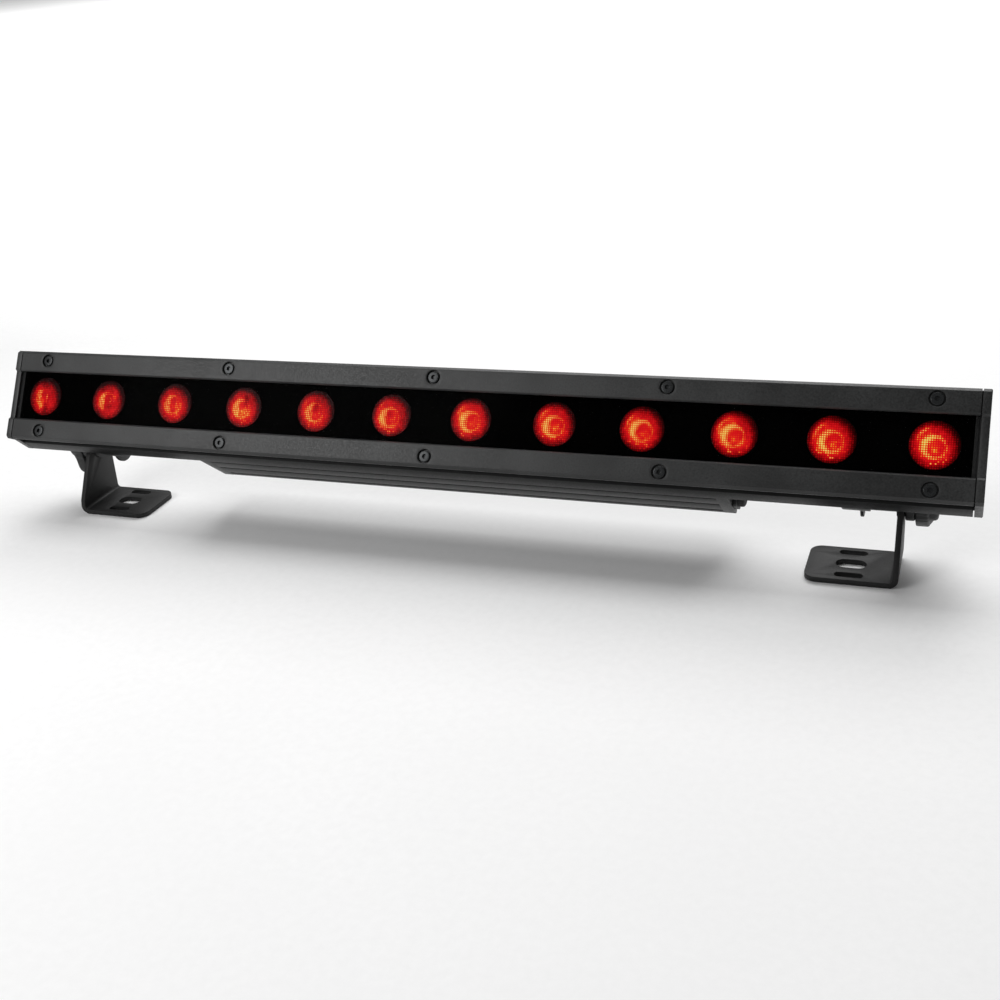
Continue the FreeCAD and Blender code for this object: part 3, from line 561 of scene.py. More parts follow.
# ---------------------------------------------------------------------------------- housing
@dataclass
class Housing:
    """Long aluminium housing: walls round the window, fins and rail along its back, nose below."""

    axes: Axes
    body_half: float
    half_height: float = 48.75
    front: float = 5.0
    back: float = 37.0
    floor: float = 25.0
    chamfer: float = 3.0
    belly: float = -46.5
    nose: tuple[float, float] = (20.0, -50.2)
    tail: float = -54.5
    seat: tuple[float, float] = (5.8, 30.3)
    cavity: tuple[float, float] = (20.0, 27.3)
    fin: float = 2.0
    fin_rows: Sequence[tuple[float, float, int]] = ((-22.0, -6.0, 3), (2.0, 35.0, 5))
    slot_height: float = -42.0
    slot_mouth: float = 8.4
    slot_width: float = 15.0
    slot_lip: float = 3.5
    slot_depth: float = 8.0
    edge_r: float = 0.45

    def gaps(self) -> list[tuple[float, float]]:
        """Heights of the gaps between the fins, lowest first.

        Returns:
            Lower and upper height of each gap.
        """
        found = []
        for low, high, fins in self.fin_rows:
            gap = (high - low - fins * self.fin) / (fins + 1)
            found += [(low + i * (gap + self.fin), low + i * (gap + self.fin) + gap) for i in range(fins + 1)]
        return found

    def outline(self) -> Array:
        """Corners of the section, from the top front, down the front and up the finned back.

        Returns:
            One (depth, height) row for each corner.
        """
        h = self.half_height
        step = [(self.front, self.seat[1]), self.seat, (self.seat[0], self.cavity[1]), self.cavity]
        points = [(self.back - self.chamfer, h), (self.front, h), *step]
        points += [(depth, -height) for depth, height in reversed(step)]
        points += [(self.front, self.belly), (self.nose[0], self.belly), self.nose, (self.back, self.tail)]
        z = self.slot_height
        mouth = self.slot_mouth / 2
        wide = self.slot_width / 2
        lip = self.back - self.slot_lip
        deep = self.back - self.slot_depth
        points += [(self.back, z - mouth), (lip, z - mouth), (lip, z - wide), (deep, z - wide),
                   (deep, z + wide), (lip, z + wide), (lip, z + mouth), (self.back, z + mouth)]
        for low, high in self.gaps():
            points += [(self.back, low), (self.floor, low), (self.floor, high), (self.back, high)]
        points.append((self.back, h - self.chamfer))
        return np.array(points)

    def build(self) -> None:
        """Make the housing section as one long closed surface."""
        shell = Shell(self.axes)
        outline = soften(self.outline(), self.edge_r).reshape(-1, 2)
        extrude(shell, outline, -self.body_half, self.body_half)
        piece = shell.build("housing_section")
        # The housing wears the darker copy of the coat: painted shade on its back and underside.
        stand_for(piece, POWDER_COAT_SHADED, "housing", "black_satin_aluminium", "housing_extrusion")


@dataclass
class Bezel:
    """Bevelled bar above or below the window, with counterbored screw places."""

    axes: Axes
    half: float
    bar: Bar
    screw_xs: Sequence[float]
    face_low: float = 27.4
    face_high: float = 46.0
    outer: float = 48.75
    sill: float = 25.5
    sill_depth: float = 2.2
    chamfer: float = 2.75
    thickness: float = 5.0
    seat: float = 30.3
    screw_height: float = 38.4
    bore_r: float = 7.0
    rim: float = 0.5
    bore_depth: float = 3.0
    bore_corner: float = 0.3
    patch_half: float = 11.0
    cells: int = 8
    edge_r: float = 0.3

    def section(self) -> Array:
        """Rounded arcs at the seven corners of the bar's section."""
        corners = [(0, self.face_low), (0, self.face_high), (self.chamfer, self.outer),
                   (self.thickness, self.outer), (self.thickness, self.seat), (self.sill_depth, self.seat),
                   (self.sill_depth, self.sill)]
        return soften(np.array(corners, float), self.edge_r)

    def bore(self, x: float, low: float, high: float) -> Array:
        """Screw place: rings that run from a rectangle on the face to the bottom of the bore.

        A ring is the border pulled towards the circle in the direction of the centre, and past the
        circle the rings go round the rim, down the wall and in to the middle of the floor.

        Args:
            x: place of the screw along the bar.
            low: height of the lower side of the rectangle.
            high: height of its upper side.

        Returns:
            Rings of points, of shape (rings, points in a ring, 3).
        """
        n = self.cells
        across = np.linspace(x - self.patch_half, x + self.patch_half, n + 1)
        upward = np.linspace(low, high, n + 1)
        border = np.concatenate([
            np.column_stack([across[:-1], np.full(n, low)]),
            np.column_stack([np.full(n, across[-1]), upward[:-1]]),
            np.column_stack([across[:0:-1], np.full(n, high)]),
            np.column_stack([np.full(n, across[0]), upward[:0:-1]])])
        centre = np.array([x, self.screw_height])
        toward = border - centre
        toward /= np.linalg.norm(toward, axis=1, keepdims=True)
        lip = centre + toward * (self.bore_r + self.rim)
        angle = np.linspace(0, np.pi / 2, 4)[1:]
        wall = self.bore_depth - self.bore_corner
        radii = np.concatenate([self.bore_r + self.rim * (1 - np.sin(angle)),
                                [self.bore_r, self.bore_r - self.bore_corner, 0.0]])
        depths = np.concatenate([self.rim * (1 - np.cos(angle)), [wall, self.bore_depth, self.bore_depth]])
        flat = [border, (border + lip) / 2, lip]
        rings = [np.column_stack([ring[:, 0], np.zeros(len(ring)), ring[:, 1]]) for ring in flat]
        for radius, depth in zip(radii, depths):
            ring = centre + toward * radius
            rings.append(np.column_stack([ring[:, 0], np.full(len(ring), depth), ring[:, 1]]))
        return np.stack(rings)

    def build(self) -> None:
        """Carry the section along x, with the face left open and filled round the screw places."""
        arcs = self.section()
        low = arcs[0, -1, 1]
        high = arcs[1, 0, 1]
        around = np.concatenate([arcs[1:].reshape(-1, 2), arcs[0]])
        xs = [-self.half]
        spans = []
        for x in self.screw_xs:
            spans.append((xs[-1], x - self.patch_half))
            xs += np.linspace(x - self.patch_half, x + self.patch_half, self.cells + 1).tolist()
        spans.append((xs[-1], self.half))
        xs.append(self.half)
        upward = np.linspace(low, high, self.cells + 1)
        grids = [np.stack([np.column_stack([np.full(len(around), x), around]) for x in xs])]
        for x0, x1 in spans:
            grids.append(np.stack([np.column_stack([np.full(len(upward), x), np.zeros(len(upward)), upward])
                                   for x in (x0, x1)]))
        shell = Shell(self.axes)
        flip = np.array([1, 1, self.bar.value])
        for grid in grids:
            shell.grid(grid * flip)
        for x in self.screw_xs:
            shell.grid(self.bore(x, low, high) * flip, wrap=True)
        for x in (-self.half, self.half):
            end = np.concatenate([around, np.column_stack([np.zeros(len(upward) - 2), upward[1:-1]])])
            shell.flat(np.column_stack([np.full(len(end), x), end]) * flip)
        piece = shell.build(self.bar.word + "_bezel_bar")
        stand_for(piece, POWDER_COAT, "housing", "black_satin_aluminium", self.bar.word + "_bezel")


@dataclass
class SocketScrews:
    """Row of socket screws: rounded heads with a hexagonal recess."""

    axes: Axes
    seat_depth: float = 3.0
    head_r: float = 5.6
    head_height: float = 2.6
    rim: float = 0.9
    foot_edge: float = 0.2
    across_flats: float = 4.0
    recess: float = 2.3
    recess_edge: float = 0.22
    drill_point: float = 0.25
    around: int = 48

    def head(self, shell: Shell, centre: Sequence[float]) -> None:
        """One head: up its side, round the rim, in over the top and down the hexagon.

        Args:
            shell: surface to add to.
            centre: middle of the face that the head stands on.
        """
        angle = circle(self.around)
        ones = np.ones(self.around)
        r = self.head_r
        h = self.head_height
        hexagon = hexagon_radius(angle, self.across_flats)
        bend = np.linspace(0, np.pi / 2, 6)
        rim = self.rim
        rings = [0 * ones, (r - self.foot_edge) * ones, r * ones]
        along = [0.0, 0.0, self.foot_edge]
        rings += [(r - rim + rim * np.cos(b)) * ones for b in bend]
        along += [h - rim * 0.8 + rim * 0.8 * np.sin(b) for b in bend]
        rings += [hexagon * 1.08, hexagon, hexagon * 0.98, 0 * ones]
        along += [h, h - self.recess_edge, h - self.recess, h - self.recess - self.drill_point]
        turn(shell, centre, Around.DEPTH, np.stack(rings), -np.array(along), self.around)

    def row(self, name: str, places: Sequence[tuple[float, float]], node: str) -> None:
        """Heads at the given (x, height) places on the bezel.

        Args:
            name: name of the piece.
            places: (x, height) of each screw.
            node: node that the row stands for.
        """
        shell = Shell(self.axes)
        for x, height in places:
            self.head(shell, (x, self.seat_depth, height))
        piece = shell.build(name, 40.0)
        stand_for(piece, BLACK_OXIDE, "housing", "black_screw_steel", node)


@dataclass
class LensRow:
    """Row of lit collimating lenses with a relief of tiny pillows on each front.

    ring_r, arc_r, trail_r and chip_half belong to the painted image of the chip, in lens radii.
    """

    axes: Axes
    places: Sequence[float]
    radius: float = 20.8
    front: float = 5.02
    flange: float = 1.5
    neck_r: float = 6.0
    length: float = 11.0
    pillow: float = 2.0
    relief: float = 0.2
    rings: int = 60
    around: int = 288
    ring_r: float = 0.44
    arc_r: float = 0.74
    trail_r: float = 0.78
    chip_half: float = 0.17
    blotches: int = 12
    edge: float = 0.3
    lip: float = 1.4

    def dots(self, u: Array, v: Array, draw: np.random.Generator) -> tuple[Array, Array]:
        """Pillow pattern of the front, and one random value for each pillow.

        A pillow is the product of a squared cosine across and one upward, so it is 1 in its middle and
        0 at its sides. The random value is looked up by the pillow's row and column.

        Args:
            u: place across the lens, in lens radii.
            v: place up the lens, in lens radii.
            draw: source of the random values.

        Returns:
            Height of the pillows from 0 to 1, and the random value, at each point.
        """
        across = u * self.radius / self.pillow
        upward = v * self.radius / self.pillow
        table = draw.random((64, 64))
        chance = table[np.round(across).astype(int) + 32, np.round(upward).astype(int) + 32]
        return (np.cos(np.pi * across) * np.cos(np.pi * upward)) ** 2, chance

    def heat(self, u: Array, v: Array, share: float, seed: int) -> Array:
        """How strongly the lens glows at (u, v), in lens radii from its centre.

        The body is level over the middle and falls off towards the rim and the upper right, a painted
        shade of the glow as seen from one side. The chip's image is painted on: a ring, thick on its
        left, with a broken arc above it on the left, a trail of dots below, and a small square spot.
        Every bright part is broken into the dots of the pillows. The lenses further left, seen more
        from the side, are painted dimmer and broken into blotches: this change with the view is fixed
        to each lens by its place in the row, not worked out from the view.

        Args:
            u: place across the lens.
            v: place up the lens.
            share: 0 for the first lens on the left, which is seen most from the side, to 1 on the right;
                it sets how much of the painted side view the lens gets.
            seed: seed of the lens's own random draws.

        Returns:
            Glow from 0 to 1 at each point.
        """
        draw = np.random.default_rng(seed)
        pillow, chance = self.dots(u, v, draw)
        r = np.hypot(u, v)
        angle = np.degrees(np.arctan2(v, u)) % 360
        # Painted view: the shift of the chip's image, the ring's brighter left and the dimming of the left
        # lenses stand in for how each lens looks from one side.
        cu = 0.02 - 0.12 * (1 - share) ** 2 + draw.uniform(-0.03, 0.03)
        cv = -0.08 + draw.uniform(-0.03, 0.03)
        rr = np.hypot(u - cu, v - cv)
        left = 0.5 - 0.5 * np.cos(np.arctan2(v - cv, u - cu) + draw.uniform(-0.1, 0.5))
        body = 0.66 - 0.46 * np.clip((r - 0.6) / 0.4, 0, 1) ** 1.3
        body -= 0.2 * np.clip((0.8 * u + 0.6 * v - 0.1) / 0.75, 0, 1)
        body -= 0.16 * (1 - share) ** 2 * (0.7 + v)
        for _ in range(self.blotches):
            strength = draw.uniform(-1, 1) * (0.06 + 0.2 * (1 - share) ** 2)
            body += strength * bell((u - draw.uniform(-0.7, 0.7)) / 0.16, (v - draw.uniform(-0.7, 0.7)) / 0.3)
        ring = bell((rr - self.ring_r) / (0.07 + 0.07 * left ** 2)) * (0.16 + 0.41 * left ** 1.5)
        ring *= 0.35 + 0.65 * share ** 0.7
        streak = bell((u - cu + 0.24) / 0.075, (v - cv) / 0.3)
        streak += 0.8 * bell((u - cu - 0.2) / 0.06, (v - cv - 0.05) / 0.24)
        arc = bell((r - self.arc_r) / 0.075, (angle - draw.uniform(135, 150)) / 34)
        trail = bell((r - self.trail_r) / 0.09, (angle - 262) / 55) * (chance > 0.72)
        square = np.maximum(np.abs(u - cu), np.abs(v - cv + 0.12))
        spot = 0.07 * (square < self.chip_half) + 0.16 * np.clip(1.4 - square / 0.08, 0, 1)
        bright = ring + (0.32 * arc + 0.34 * trail) * (0.3 + 0.7 * share)
        bright += 0.3 * streak * (1 - share) ** 1.5 * (0.5 + chance)
        grain = (pillow - 0.42) * (0.26 + 1.25 * bright) + 0.12 * (chance - 0.5) * np.clip(r / 0.4, 0, 1)
        return np.clip(body + bright + spot * (0.3 + 0.7 * share) + grain, 0.0, 1.0)

    def build(self) -> None:
        """One closed surface for each lens: pillowed front, flange and cone."""
        reach = np.linspace(0, 1, self.rings)
        angle = circle(self.around)
        u = reach[:, None] * np.cos(angle)
        v = reach[:, None] * np.sin(angle)
        fade = np.clip((1 - np.hypot(u, v)) / 0.05, 0, 1)
        for i, x in enumerate(self.places):
            shell = Shell(self.axes)
            wave = 2 * self.dots(u, v, np.random.default_rng(i))[0] - 1
            depth = self.front + self.relief * (0.5 - 0.5 * wave * fade)
            front_r = self.radius - self.edge
            front = np.stack([x + u * front_r, depth, v * front_r], -1)
            shell.grid(front, wrap=True, heat=self.heat(u, v, i / (len(self.places) - 1), 100 + i))
            radii = np.array([front_r, self.radius, self.radius, self.radius - self.lip, self.neck_r, 0])
            start = self.front + self.relief / 2
            flange = self.front + self.flange
            end = self.front + self.length
            along = np.array([start, start + self.edge, flange, flange, end, end])
            turn(shell, (x, 0, 0), Around.DEPTH, radii, along, self.around)
            piece = shell.build("lens_body_%02d" % (i + 1), 50.0)
            stand_for(piece, LitLens(), "housing", "lens_plastic", "lens_%02d" % (i + 1))


@dataclass
class DriverBox:
    """Extruded box behind the housing, with bands along its sloping underside."""

    axes: Axes
    left_x: float
    right_x: float
    front: float = 37.0
    back: float = 97.0
    top: float = 6.0
    low_front: float = -53.0
    low_back: float = -62.0
    corner_r: float = 4.0
    edge_r: float = 0.35
    bands: int = 3
    groove: float = 2.0
    groove_depth: float = 1.2
    groove_share: float = 0.35

    def underside(self, depth: float) -> float:
        """Height of the underside at a depth."""
        return float(np.interp(depth, [self.front, self.back], [self.low_front, self.low_back]))

    def build(self) -> None:
        """Carry the banded section along x."""
        points = [(self.front, self.top), (self.front, self.low_front)]
        step = (self.back - self.front) / self.bands
        for i in range(self.bands):
            y = self.front + (i + self.groove_share) * step
            roof = self.underside(y) + self.groove_depth
            points += [(y, self.underside(y)), (y, roof), (y + self.groove, roof),
                       (y + self.groove, self.underside(y + self.groove))]
        corners = np.array(points + [(self.back, self.low_back), (self.back, self.top)])
        arcs = np.concatenate([soften(corners, self.edge_r)[:-2], soften(corners, self.corner_r)[-2:]])
        shell = Shell(self.axes)
        extrude(shell, arcs.reshape(-1, 2), self.left_x, self.right_x)
        piece = shell.build("driver_box_section")
        # The driver box wears the darker copy of the coat: painted shade on its underside.
        stand_for(piece, POWDER_COAT_SHADED, "housing", "black_satin_aluminium", "driver_housing")


# ---------------------------------------------------------------------------------- pieces from nodes
def refined(node: str, name: str, edge_mm: float) -> bpy.types.Object:
    """Copy of a node with its triangles welded, flats joined and edges broken.

    Args:
        node: CAD node to copy.
        name: name of the new piece.
        edge_mm: width of the broken edges.

    Returns:
        The new piece, with the bevels applied.
    """
    source = bpy.data.objects[node]
    mesh = source.data.copy()
    mesh.name = name
    work = bmesh.new()
    work.from_mesh(mesh)
    bmesh.ops.remove_doubles(work, verts=work.verts, dist=0.002 * MM)
    bmesh.ops.dissolve_limit(work, angle_limit=np.radians(0.6), verts=work.verts, edges=work.edges)
    work.to_mesh(mesh)
    work.free()
    piece = linked(name, mesh)
    bevel = piece.modifiers.new("broken_edges", "BEVEL")
    bevel.width = edge_mm * MM
    bevel.segments = 2
    bevel.limit_method = "ANGLE"
    bevel.angle_limit = np.radians(35)
    bevel.use_clamp_overlap = True
    bpy.context.view_layer.update()
    final = bpy.data.meshes.new_from_object(piece.evaluated_get(bpy.context.evaluated_depsgraph_get()))
    piece.modifiers.clear()
    piece.data = final
    final.name = name
    final.polygons.foreach_set("use_smooth", np.ones(len(final.polygons), bool))
    final.set_sharp_from_angle(angle=np.radians(40))
    return piece


@dataclass
class Ends:
    """End caps of the housing and of the driver box."""

    def build(self) -> None:
        """Break the edges of all four caps."""
        for side in Side:
            cap = refined("end_cap_" + side.word, "housing_cap_" + side.word, 0.35)
            stand_for(cap, POWDER_COAT, "housing", "black_satin_aluminium", "end_cap_" + side.word)
            cap = refined("driver_end_cap_" + side.word, "driver_cap_" + side.word, 0.5)
            stand_for(cap, COATED_CASTING, "housing", "driver_cap_metal", "driver_end_cap_" + side.word)


@dataclass
class Inlet:
    """Power inlet on the right end of the driver box: flange and ribbed rubber cap."""

    axes: Axes
    x: float
    centre: tuple[float, float]
    flange: float = 3.5
    cap_r: float = 12.0
    cap_height: float = 6.5
    rib: float = 0.35
    ribs: int = 24
    around: int = 96

    def build(self) -> None:
        """Make the cap as rings whose radius ripples with the angle on its side."""
        plate = refined("power_inlet", "inlet_flange", 0.5)
        stand_for(plate, NYLON, "housing", "black_plastic", "power_inlet")
        angle = circle(self.around)
        ripple = self.rib * (0.5 - 0.5 * np.cos(self.ribs * angle))
        r = self.cap_r
        h = self.cap_height
        plain = np.ones(self.around)
        rings = [0 * plain, r * plain, r * plain, r - ripple, r - ripple]
        rings += [(r - step) * plain for step in (0.6, 1.8, 3.2, 3.6)] + [0 * plain]
        along = [0, 0, 1.0, 1.4, h - 1.8, h - 0.8, h - 0.1, h, h - 0.5, h - 0.5]
        shell = Shell(self.axes)
        start = (self.x + self.flange, *self.centre)
        turn(shell, start, Around.LENGTH, np.stack(rings), np.array(along), self.around)
        piece = shell.build("inlet_rubber_cap", 30.0)
        stand_for(piece, RUBBER, "housing", "black_rubber", "inlet_cap")


# ---------------------------------------------------------------------------------- feet
@dataclass
class FootGear:
    """Everything at one foot: bracket, block on the rail, bolt, spacers, collar and knob."""

    axes: Axes
    side: Side
    pivot: tuple[float, float]
    ear_x: float
    arm_x: float
    arm_outer_x: float
    knob_x: float
    knob_angle_deg: float
    hub_r: float = 17.0
    lobe_r: float = 12.0
    lobe_arm: float = 21.0
    rim: float = 12.0
    crown: float = 7.9
    low_edge: float = 1.6
    high_edge: float = 2.6
    flute: float = 0.45
    flutes: int = 18
    insert_r: float = 8.2
    insert_length: float = 11.0
    bore_r: float = 5.35
    bore_depth: float = 15.2
    bolt_r: float = 5.0
    bolt_flats: float = 15.0
    bolt_head: float = 6.4
    bolt_chamfer_r: float = 7.6
    bolt_reach: float = 13.9
    thread_pitch: float = 1.5
    thread_root_r: float = 4.5
    sleeve_bore: float = 5.1
    gap: float = 0.3
    washer: float = 1.0
    washer_r: float = 13.0
    washer_edge: float = 0.3
    spacer_r: float = 9.0
    collar_r: float = 16.0
    collar_edge: float = 1.2
    around: int = 96
    knob_around: int = 144

    @classmethod
    def from_frame(cls, axes: Axes, side: Side) -> "FootGear":
        """Read one side's places from its tilt joint and its nodes.

        Args:
            axes: axes of the batten.
            side: end of the batten.

        Returns:
            The gear, ready to build.
        """
        joint = next(found for found in frame["joints"] if found["name"] == "tilt_" + side.word)
        inner = 0 if side is Side.RIGHT else 1
        spacer = abs(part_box("spacer_tube_" + side.word)[inner].x) / MM
        arm = abs(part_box("foot_bracket_" + side.word)[1 - inner].x) / MM
        knob = abs(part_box("clamp_knob_" + side.word)[inner].x) / MM
        return cls(axes, side, axes.section_place(joint["pos_m"]), spacer - EAR_THICKNESS,
                   arm - FOOT_THICKNESS, arm, knob, TILT_DEG + KNOB_REST_DEG[side])

    def piece(self, shell: Shell, name: str, finish: Finish, body: str, slot: str, *nodes: str) -> None:
        """Finish one piece of this side.

        Args:
            shell: surface of the piece.
            name: name of the piece, without its side.
            finish: its finish.
            body: body it rides on, without its side.
            slot: material slot of the record.
            nodes: nodes it stands for, without their side.
        """
        word = self.side.word
        made = shell.build(name + "_" + word, 35.0)
        stand_for(made, finish, body + "_" + word, slot, *[node + "_" + word for node in nodes])

    def ring(self, name: str, x0: float, x1: float, radius: float, finish: Finish, slot: str, node: str,
             edge: float = 0.6) -> None:
        """Round sleeve on the pivot bolt with rounded outer edges, from x0 out to x1.

        Args:
            name: name of the piece, without its side.
            x0: inner end, as a distance from the middle of the batten.
            x1: outer end.
            radius: outer radius.
            finish: its finish.
            slot: material slot of the record.
            node: node it stands for, without its side.
            edge: radius of the outer edges.
        """
        shell = Shell(self.axes)
        self.sleeve(shell, x0, x1, radius, edge)
        self.piece(shell, name, finish, "block", slot, node)

    def sleeve(self, shell: Shell, x0: float, x1: float, radius: float, edge: float) -> None:
        """Closed ring surface: bore, end face, rounded rim, side, rim, end face.

        Args:
            shell: surface to add to.
            x0: inner end.
            x1: outer end.
            radius: outer radius.
            edge: radius of the outer edges.
        """
        bore = self.sleeve_bore
        bend = np.linspace(0, np.pi / 2, 5)
        rise = edge * np.sin(bend)
        fall = edge * np.cos(bend)
        radii = np.concatenate([[bore], radius - edge + rise, radius - edge + fall, [bore, bore]])
        along = np.concatenate([[x0], x0 + edge - fall, x1 - edge + rise, [x1, x0]])
        turn(shell, (0, *self.pivot), Around.LENGTH, radii, along * self.side.value)

    def bolt(self) -> None:
        """Hexagonal bolt head with turned-down corners, and a shank with thread grooves at its end."""
        shell = Shell(self.axes)
        angle = circle(self.around)
        plain = np.ones(self.around)
        hexagon = hexagon_radius(angle, self.bolt_flats)
        back = self.ear_x - self.bolt_head
        cone = np.minimum(hexagon, self.bolt_chamfer_r)
        end = self.knob_x + self.bolt_reach
        thread = np.arange(self.arm_outer_x + 2, end - 2, self.thread_pitch)
        waves = np.stack([thread, thread + self.thread_pitch / 2], 1).reshape(-1)
        depth = np.tile([self.bolt_r, self.thread_root_r], len(thread))
        rings = [0 * plain, cone * 0.97, hexagon, hexagon, self.bolt_r * plain]
        along = [back, back, back + 0.9, self.ear_x, self.ear_x]
        rings += [d * plain for d in depth] + [(self.thread_root_r + 0.1) * plain, 0 * plain]
        along += waves.tolist() + [end, end]
        turn(shell, (0, *self.pivot), Around.LENGTH, np.stack(rings), np.array(along) * self.side.value,
             self.around)
        self.piece(shell, "pivot_bolt_turned", ZINC, "block", "zinc_steel", "pivot_bolt")

    def wings(self, angle: Array) -> Array:
        """Radius of the knob's outline: two lobes joined to the round hub by straight tangents.

        With phi from the nearer lobe, the outline is the lobe's circle up to the lobe's tangent point,
        then the tangent line hub_r / cos(phi - psi), then the hub. psi is the tangent's normal.

        Args:
            angle: angles measured from a lobe.

        Returns:
            Radius at each angle.
        """
        phi = np.arccos(np.abs(np.cos(angle)))
        psi = np.arccos((self.hub_r - self.lobe_r) / self.lobe_arm)
        touch = np.arctan2(self.lobe_r * np.sin(psi), self.lobe_arm + self.lobe_r * np.cos(psi))
        inside = np.clip(self.lobe_r ** 2 - (self.lobe_arm * np.sin(phi)) ** 2, 0, None)
        lobe = self.lobe_arm * np.cos(phi) + np.sqrt(inside)
        line = self.hub_r / np.cos(np.clip(phi - psi, -1.3, 0))
        return np.where(phi < touch, lobe, np.where(phi < psi, line, self.hub_r))

    def knob(self) -> None:
        """Wing knob: rings of the winged outline up the rim, and a domed crown over the hub.

        Each ring is the outline moved in by a quarter circle at both edges of the rim. Over the crown
        the outline blends into the hub's circle while it shrinks like a dome. A stepped bore at the back
        takes the insert and the end of the bolt.
        """
        count = self.knob_around
        angle = circle(count)
        outline = self.wings(angle - np.pi / 2 - np.radians(self.knob_angle_deg))
        flute = self.flute * (0.5 - 0.5 * np.cos(self.flutes * angle)) * (outline < self.hub_r * 1.3)
        bend = np.linspace(0, np.pi / 2, 6)
        start = self.knob_x
        low_edge = self.low_edge
        high_edge = self.high_edge
        rings = [self.insert_r + 0 * angle, outline - low_edge]
        along = [start, start]
        for b in bend[1:]:
            rings.append(outline - low_edge * (1 - np.sin(b)) - flute * np.sin(b))
            along.append(start + low_edge * (1 - np.cos(b)))
        for b in bend:
            rings.append(outline - high_edge * (1 - np.cos(b)) - flute * np.cos(b))
            along.append(start + self.rim - high_edge + high_edge * np.sin(b))
        hub = self.hub_r - high_edge
        for share in np.linspace(0.1, 1.0, 10):
            blend = np.clip(share / 0.3, 0, 1)
            mix = (outline - high_edge) * (1 - blend) + hub * blend
            rings.append(np.minimum(mix, outline - high_edge) * np.sqrt(np.clip(1 - share ** 3, 0, 1)))
            along.append(start + self.rim + self.crown * np.sin(share * np.pi / 2) ** 0.7)
        shell = Shell(self.axes)
        centre = (0, *self.pivot)
        turn(shell, centre, Around.LENGTH, np.stack(rings), np.array(along) * self.side.value, count)
        bore = [self.insert_r, self.insert_r, self.bore_r, self.bore_r, 0.0]
        deep = np.repeat([0.0, self.insert_length, self.bore_depth], [1, 2, 2]) + start
        turn(shell, centre, Around.LENGTH, bore, deep * self.side.value, count)
        self.piece(shell, "wing_knob", NYLON, "knob", "knob_plastic", "clamp_knob")

    def build(self) -> None:
        """Make every visible piece of this foot."""
        word = self.side.word
        foot = refined("foot_bracket_" + word, "folded_foot_" + word, 0.5)
        # The foot wears the darker steel coat, which is partly painted shade.
        stand_for(foot, POWDER_COAT_STEEL_SHADED, "foot_" + word, "black_powder_steel", "foot_bracket_" + word)
        block = refined("hinge_block_" + word, "rail_block_" + word, 0.5)
        stand_for(block, COATED_CASTING, "block_" + word, "cast_block", "hinge_block_" + word)
        inner = self.arm_x - self.gap
        outer = self.arm_outer_x + self.gap
        self.ring("spacer_sleeve", self.ear_x + EAR_THICKNESS, inner - self.washer, self.spacer_r, ZINC,
                  "zinc_steel", "spacer_tube")
        shell = Shell(self.axes)
        self.sleeve(shell, inner - self.washer, inner, self.washer_r, self.washer_edge)
        self.sleeve(shell, outer, outer + self.washer, self.washer_r, self.washer_edge)
        self.piece(shell, "nylon_washers", NYLON, "block", "black_plastic", "friction_washers")
        self.ring("collar_sleeve", outer + self.washer, self.knob_x - self.gap, self.collar_r, NYLON,
                  "black_collar", "clamp_collar", self.collar_edge)
        self.bolt()
        self.knob()


# ---------------------------------------------------------------------------------- carried-over nodes
def dress_nodes(nodes: dict[str, bpy.types.Object]) -> None:
    """Give every node that stays its own finish.

    Args:
        nodes: the frame's nodes by name.
    """
    plan = {
        RUBBER: ("window_gasket", "end_cap_gaskets", "lead_grommet", "led_lead"),
        MASK: ("lens_mask", "lens_holders"),
        BOARD: ("led_board", "control_board"),
        CHIP: ("led_chips",),
        BLACK_OXIDE: ("end_cap_screws",),
        ZINC: ("board_screws", "driver_mount_screws", "driver_end_screws", "rail_screw_left",
               "rail_screw_right", "tee_nut_left", "tee_nut_right"),
        DRAWN: ("power_supply",),
        BRASS: ("knob_insert_left", "knob_insert_right"),
        Pane(): ("window_glass",),
    }
    for finish, names in plan.items():
        for name in names:
            dress(nodes[name], finish)
            LOG.info("%s wears %s", name, finish.name)


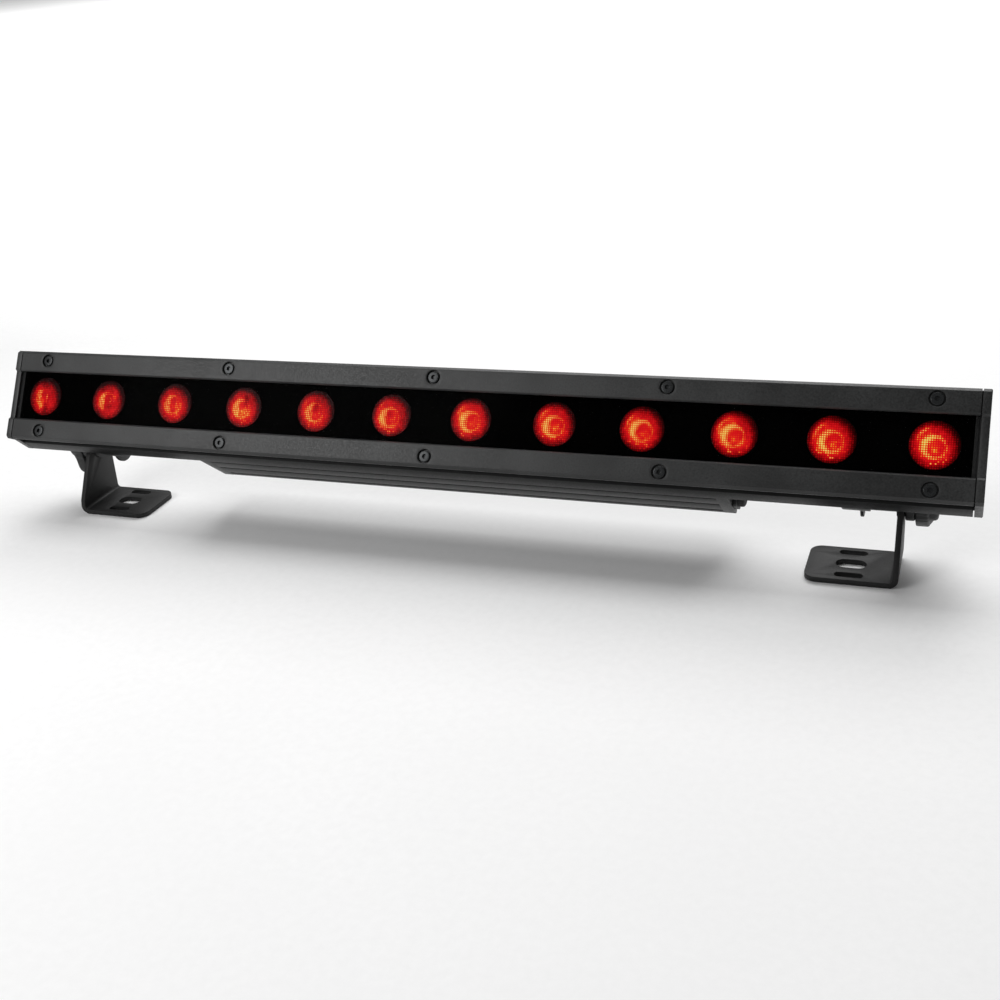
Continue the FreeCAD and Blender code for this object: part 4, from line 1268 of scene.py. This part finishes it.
# ---------------------------------------------------------------------------------- studio
@dataclass
class Studio:
    """Pale floor, soft lights and the camera, in metres."""

    floor_reach: float = 14.0
    floor_drop: float = 0.0005
    sky_strength: float = 0.23
    camera_place: tuple[float, float, float] = (0.49336, -1.03012, 0.57549)
    focal_mm: float = 45.31
    right: tuple[float, float, float] = (0.93288, 0.34811, -0.09239)
    down: tuple[float, float, float] = (0.07315, -0.43426, -0.89781)
    forward: tuple[float, float, float] = (-0.35265, 0.83079, -0.43057)

    def camera(self) -> None:
        """Camera at its place, turned by its three directions, with no shift."""
        data = bpy.data.cameras.new("camera")
        data.lens = self.focal_mm
        data.sensor_width = 36.0
        eye = linked("camera", data)
        turn_rows = Matrix((self.right, [-c for c in self.down], [-c for c in self.forward])).transposed()
        eye.matrix_world = Matrix.Translation(self.camera_place) @ turn_rows.to_4x4()
        bpy.context.scene.camera = eye

    def light(self, name: str, place: Sequence[float], aim: Sequence[float], size: float,
              watts: float) -> None:
        """Square soft light that faces a point.

        Args:
            name: name of the light.
            place: where it stands.
            aim: point it faces.
            size: side of the square.
            watts: its power.
        """
        data = bpy.data.lights.new(name, "AREA")
        data.shape = "SQUARE"
        data.size = size
        data.energy = watts
        lamp = linked(name, data)
        facing = (Vector(aim) - Vector(place)).to_track_quat("-Z", "Y").to_matrix().to_4x4()
        lamp.matrix_world = Matrix.Translation(place) @ facing

    def floor(self) -> None:
        """Large flat floor in pale paint with a faint mottle."""
        line = np.linspace(-self.floor_reach, self.floor_reach, 3)
        x, y = np.meshgrid(line, line, indexing="ij")
        mesh = bpy.data.meshes.new("floor")
        points = np.stack([x, y, np.full_like(x, -self.floor_drop)], -1).reshape(-1, 3)
        mesh.from_pydata(points, [], quads(3, 3, False).tolist())
        plane = linked("floor", mesh)
        dress(plane, Finish("pale_floor_paint", "#f4f4f4", "#f8f8f8", 0.7, 0.05, 8.0, 0.02, patch_mm=400.0))

    def build(self) -> None:
        """Set up floor, lights, surroundings and camera."""
        self.floor()
        self.light("key", (-0.95, -1.1, 1.05), (-0.2, 0.0, 0.1), 0.8, 9.8)
        self.light("top", (0.0, 1.6, 2.6), (0.0, 0.5, 0.0), 3.0, 96.0)
        self.light("wash", (-3.3, 5.0, 4.4), (-4.6, 8.6, 0.0), 6.5, 1400.0)
        world = bpy.data.worlds.new("studio")
        world.use_nodes = True
        sky = world.node_tree.nodes["Background"]
        sky.inputs["Color"].default_value = (1.0, 1.0, 1.0, 1.0)
        sky.inputs["Strength"].default_value = self.sky_strength
        bpy.context.scene.world = world
        bpy.context.scene.view_settings.view_transform = "Standard"
        self.camera()


def main() -> None:
    """Build every piece in order."""
    logging.basicConfig(level=logging.INFO, format="%(name)s %(message)s")
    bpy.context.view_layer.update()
    axes = Axes.from_frame(PANE_DEPTH)
    body_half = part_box("housing_extrusion")[1].x / MM
    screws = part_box("upper_bezel_screws")[1].x / MM - SocketScrews.head_r
    screw_xs = np.linspace(-screws, screws, SCREWS).tolist()
    lens_xs = [float(sum(c.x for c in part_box("lens_%02d" % (i + 1)))) / 2 / MM for i in range(LENSES)]
    Housing(axes, body_half).build()
    for bar in Bar:
        Bezel(axes, body_half, bar, screw_xs).build()
        places = [(x, bar.value * Bezel.screw_height) for x in screw_xs]
        SocketScrews(axes).row(bar.word + "_screw_heads", places, bar.word + "_bezel_screws")
    LensRow(axes, lens_xs).build()
    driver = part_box("driver_housing")
    DriverBox(axes, driver[0].x / MM, driver[1].x / MM).build()
    Ends().build()
    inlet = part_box("inlet_cap")
    middle = (0, (inlet[0].y + inlet[1].y) / 2, (inlet[0].z + inlet[1].z) / 2)
    Inlet(axes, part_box("power_inlet")[0].x / MM, axes.section_place(middle)).build()
    for side in Side:
        FootGear.from_frame(axes, side).build()
    dress_nodes(frame["nodes"])
    Studio().build()


if __name__ == "__main__":
    main()
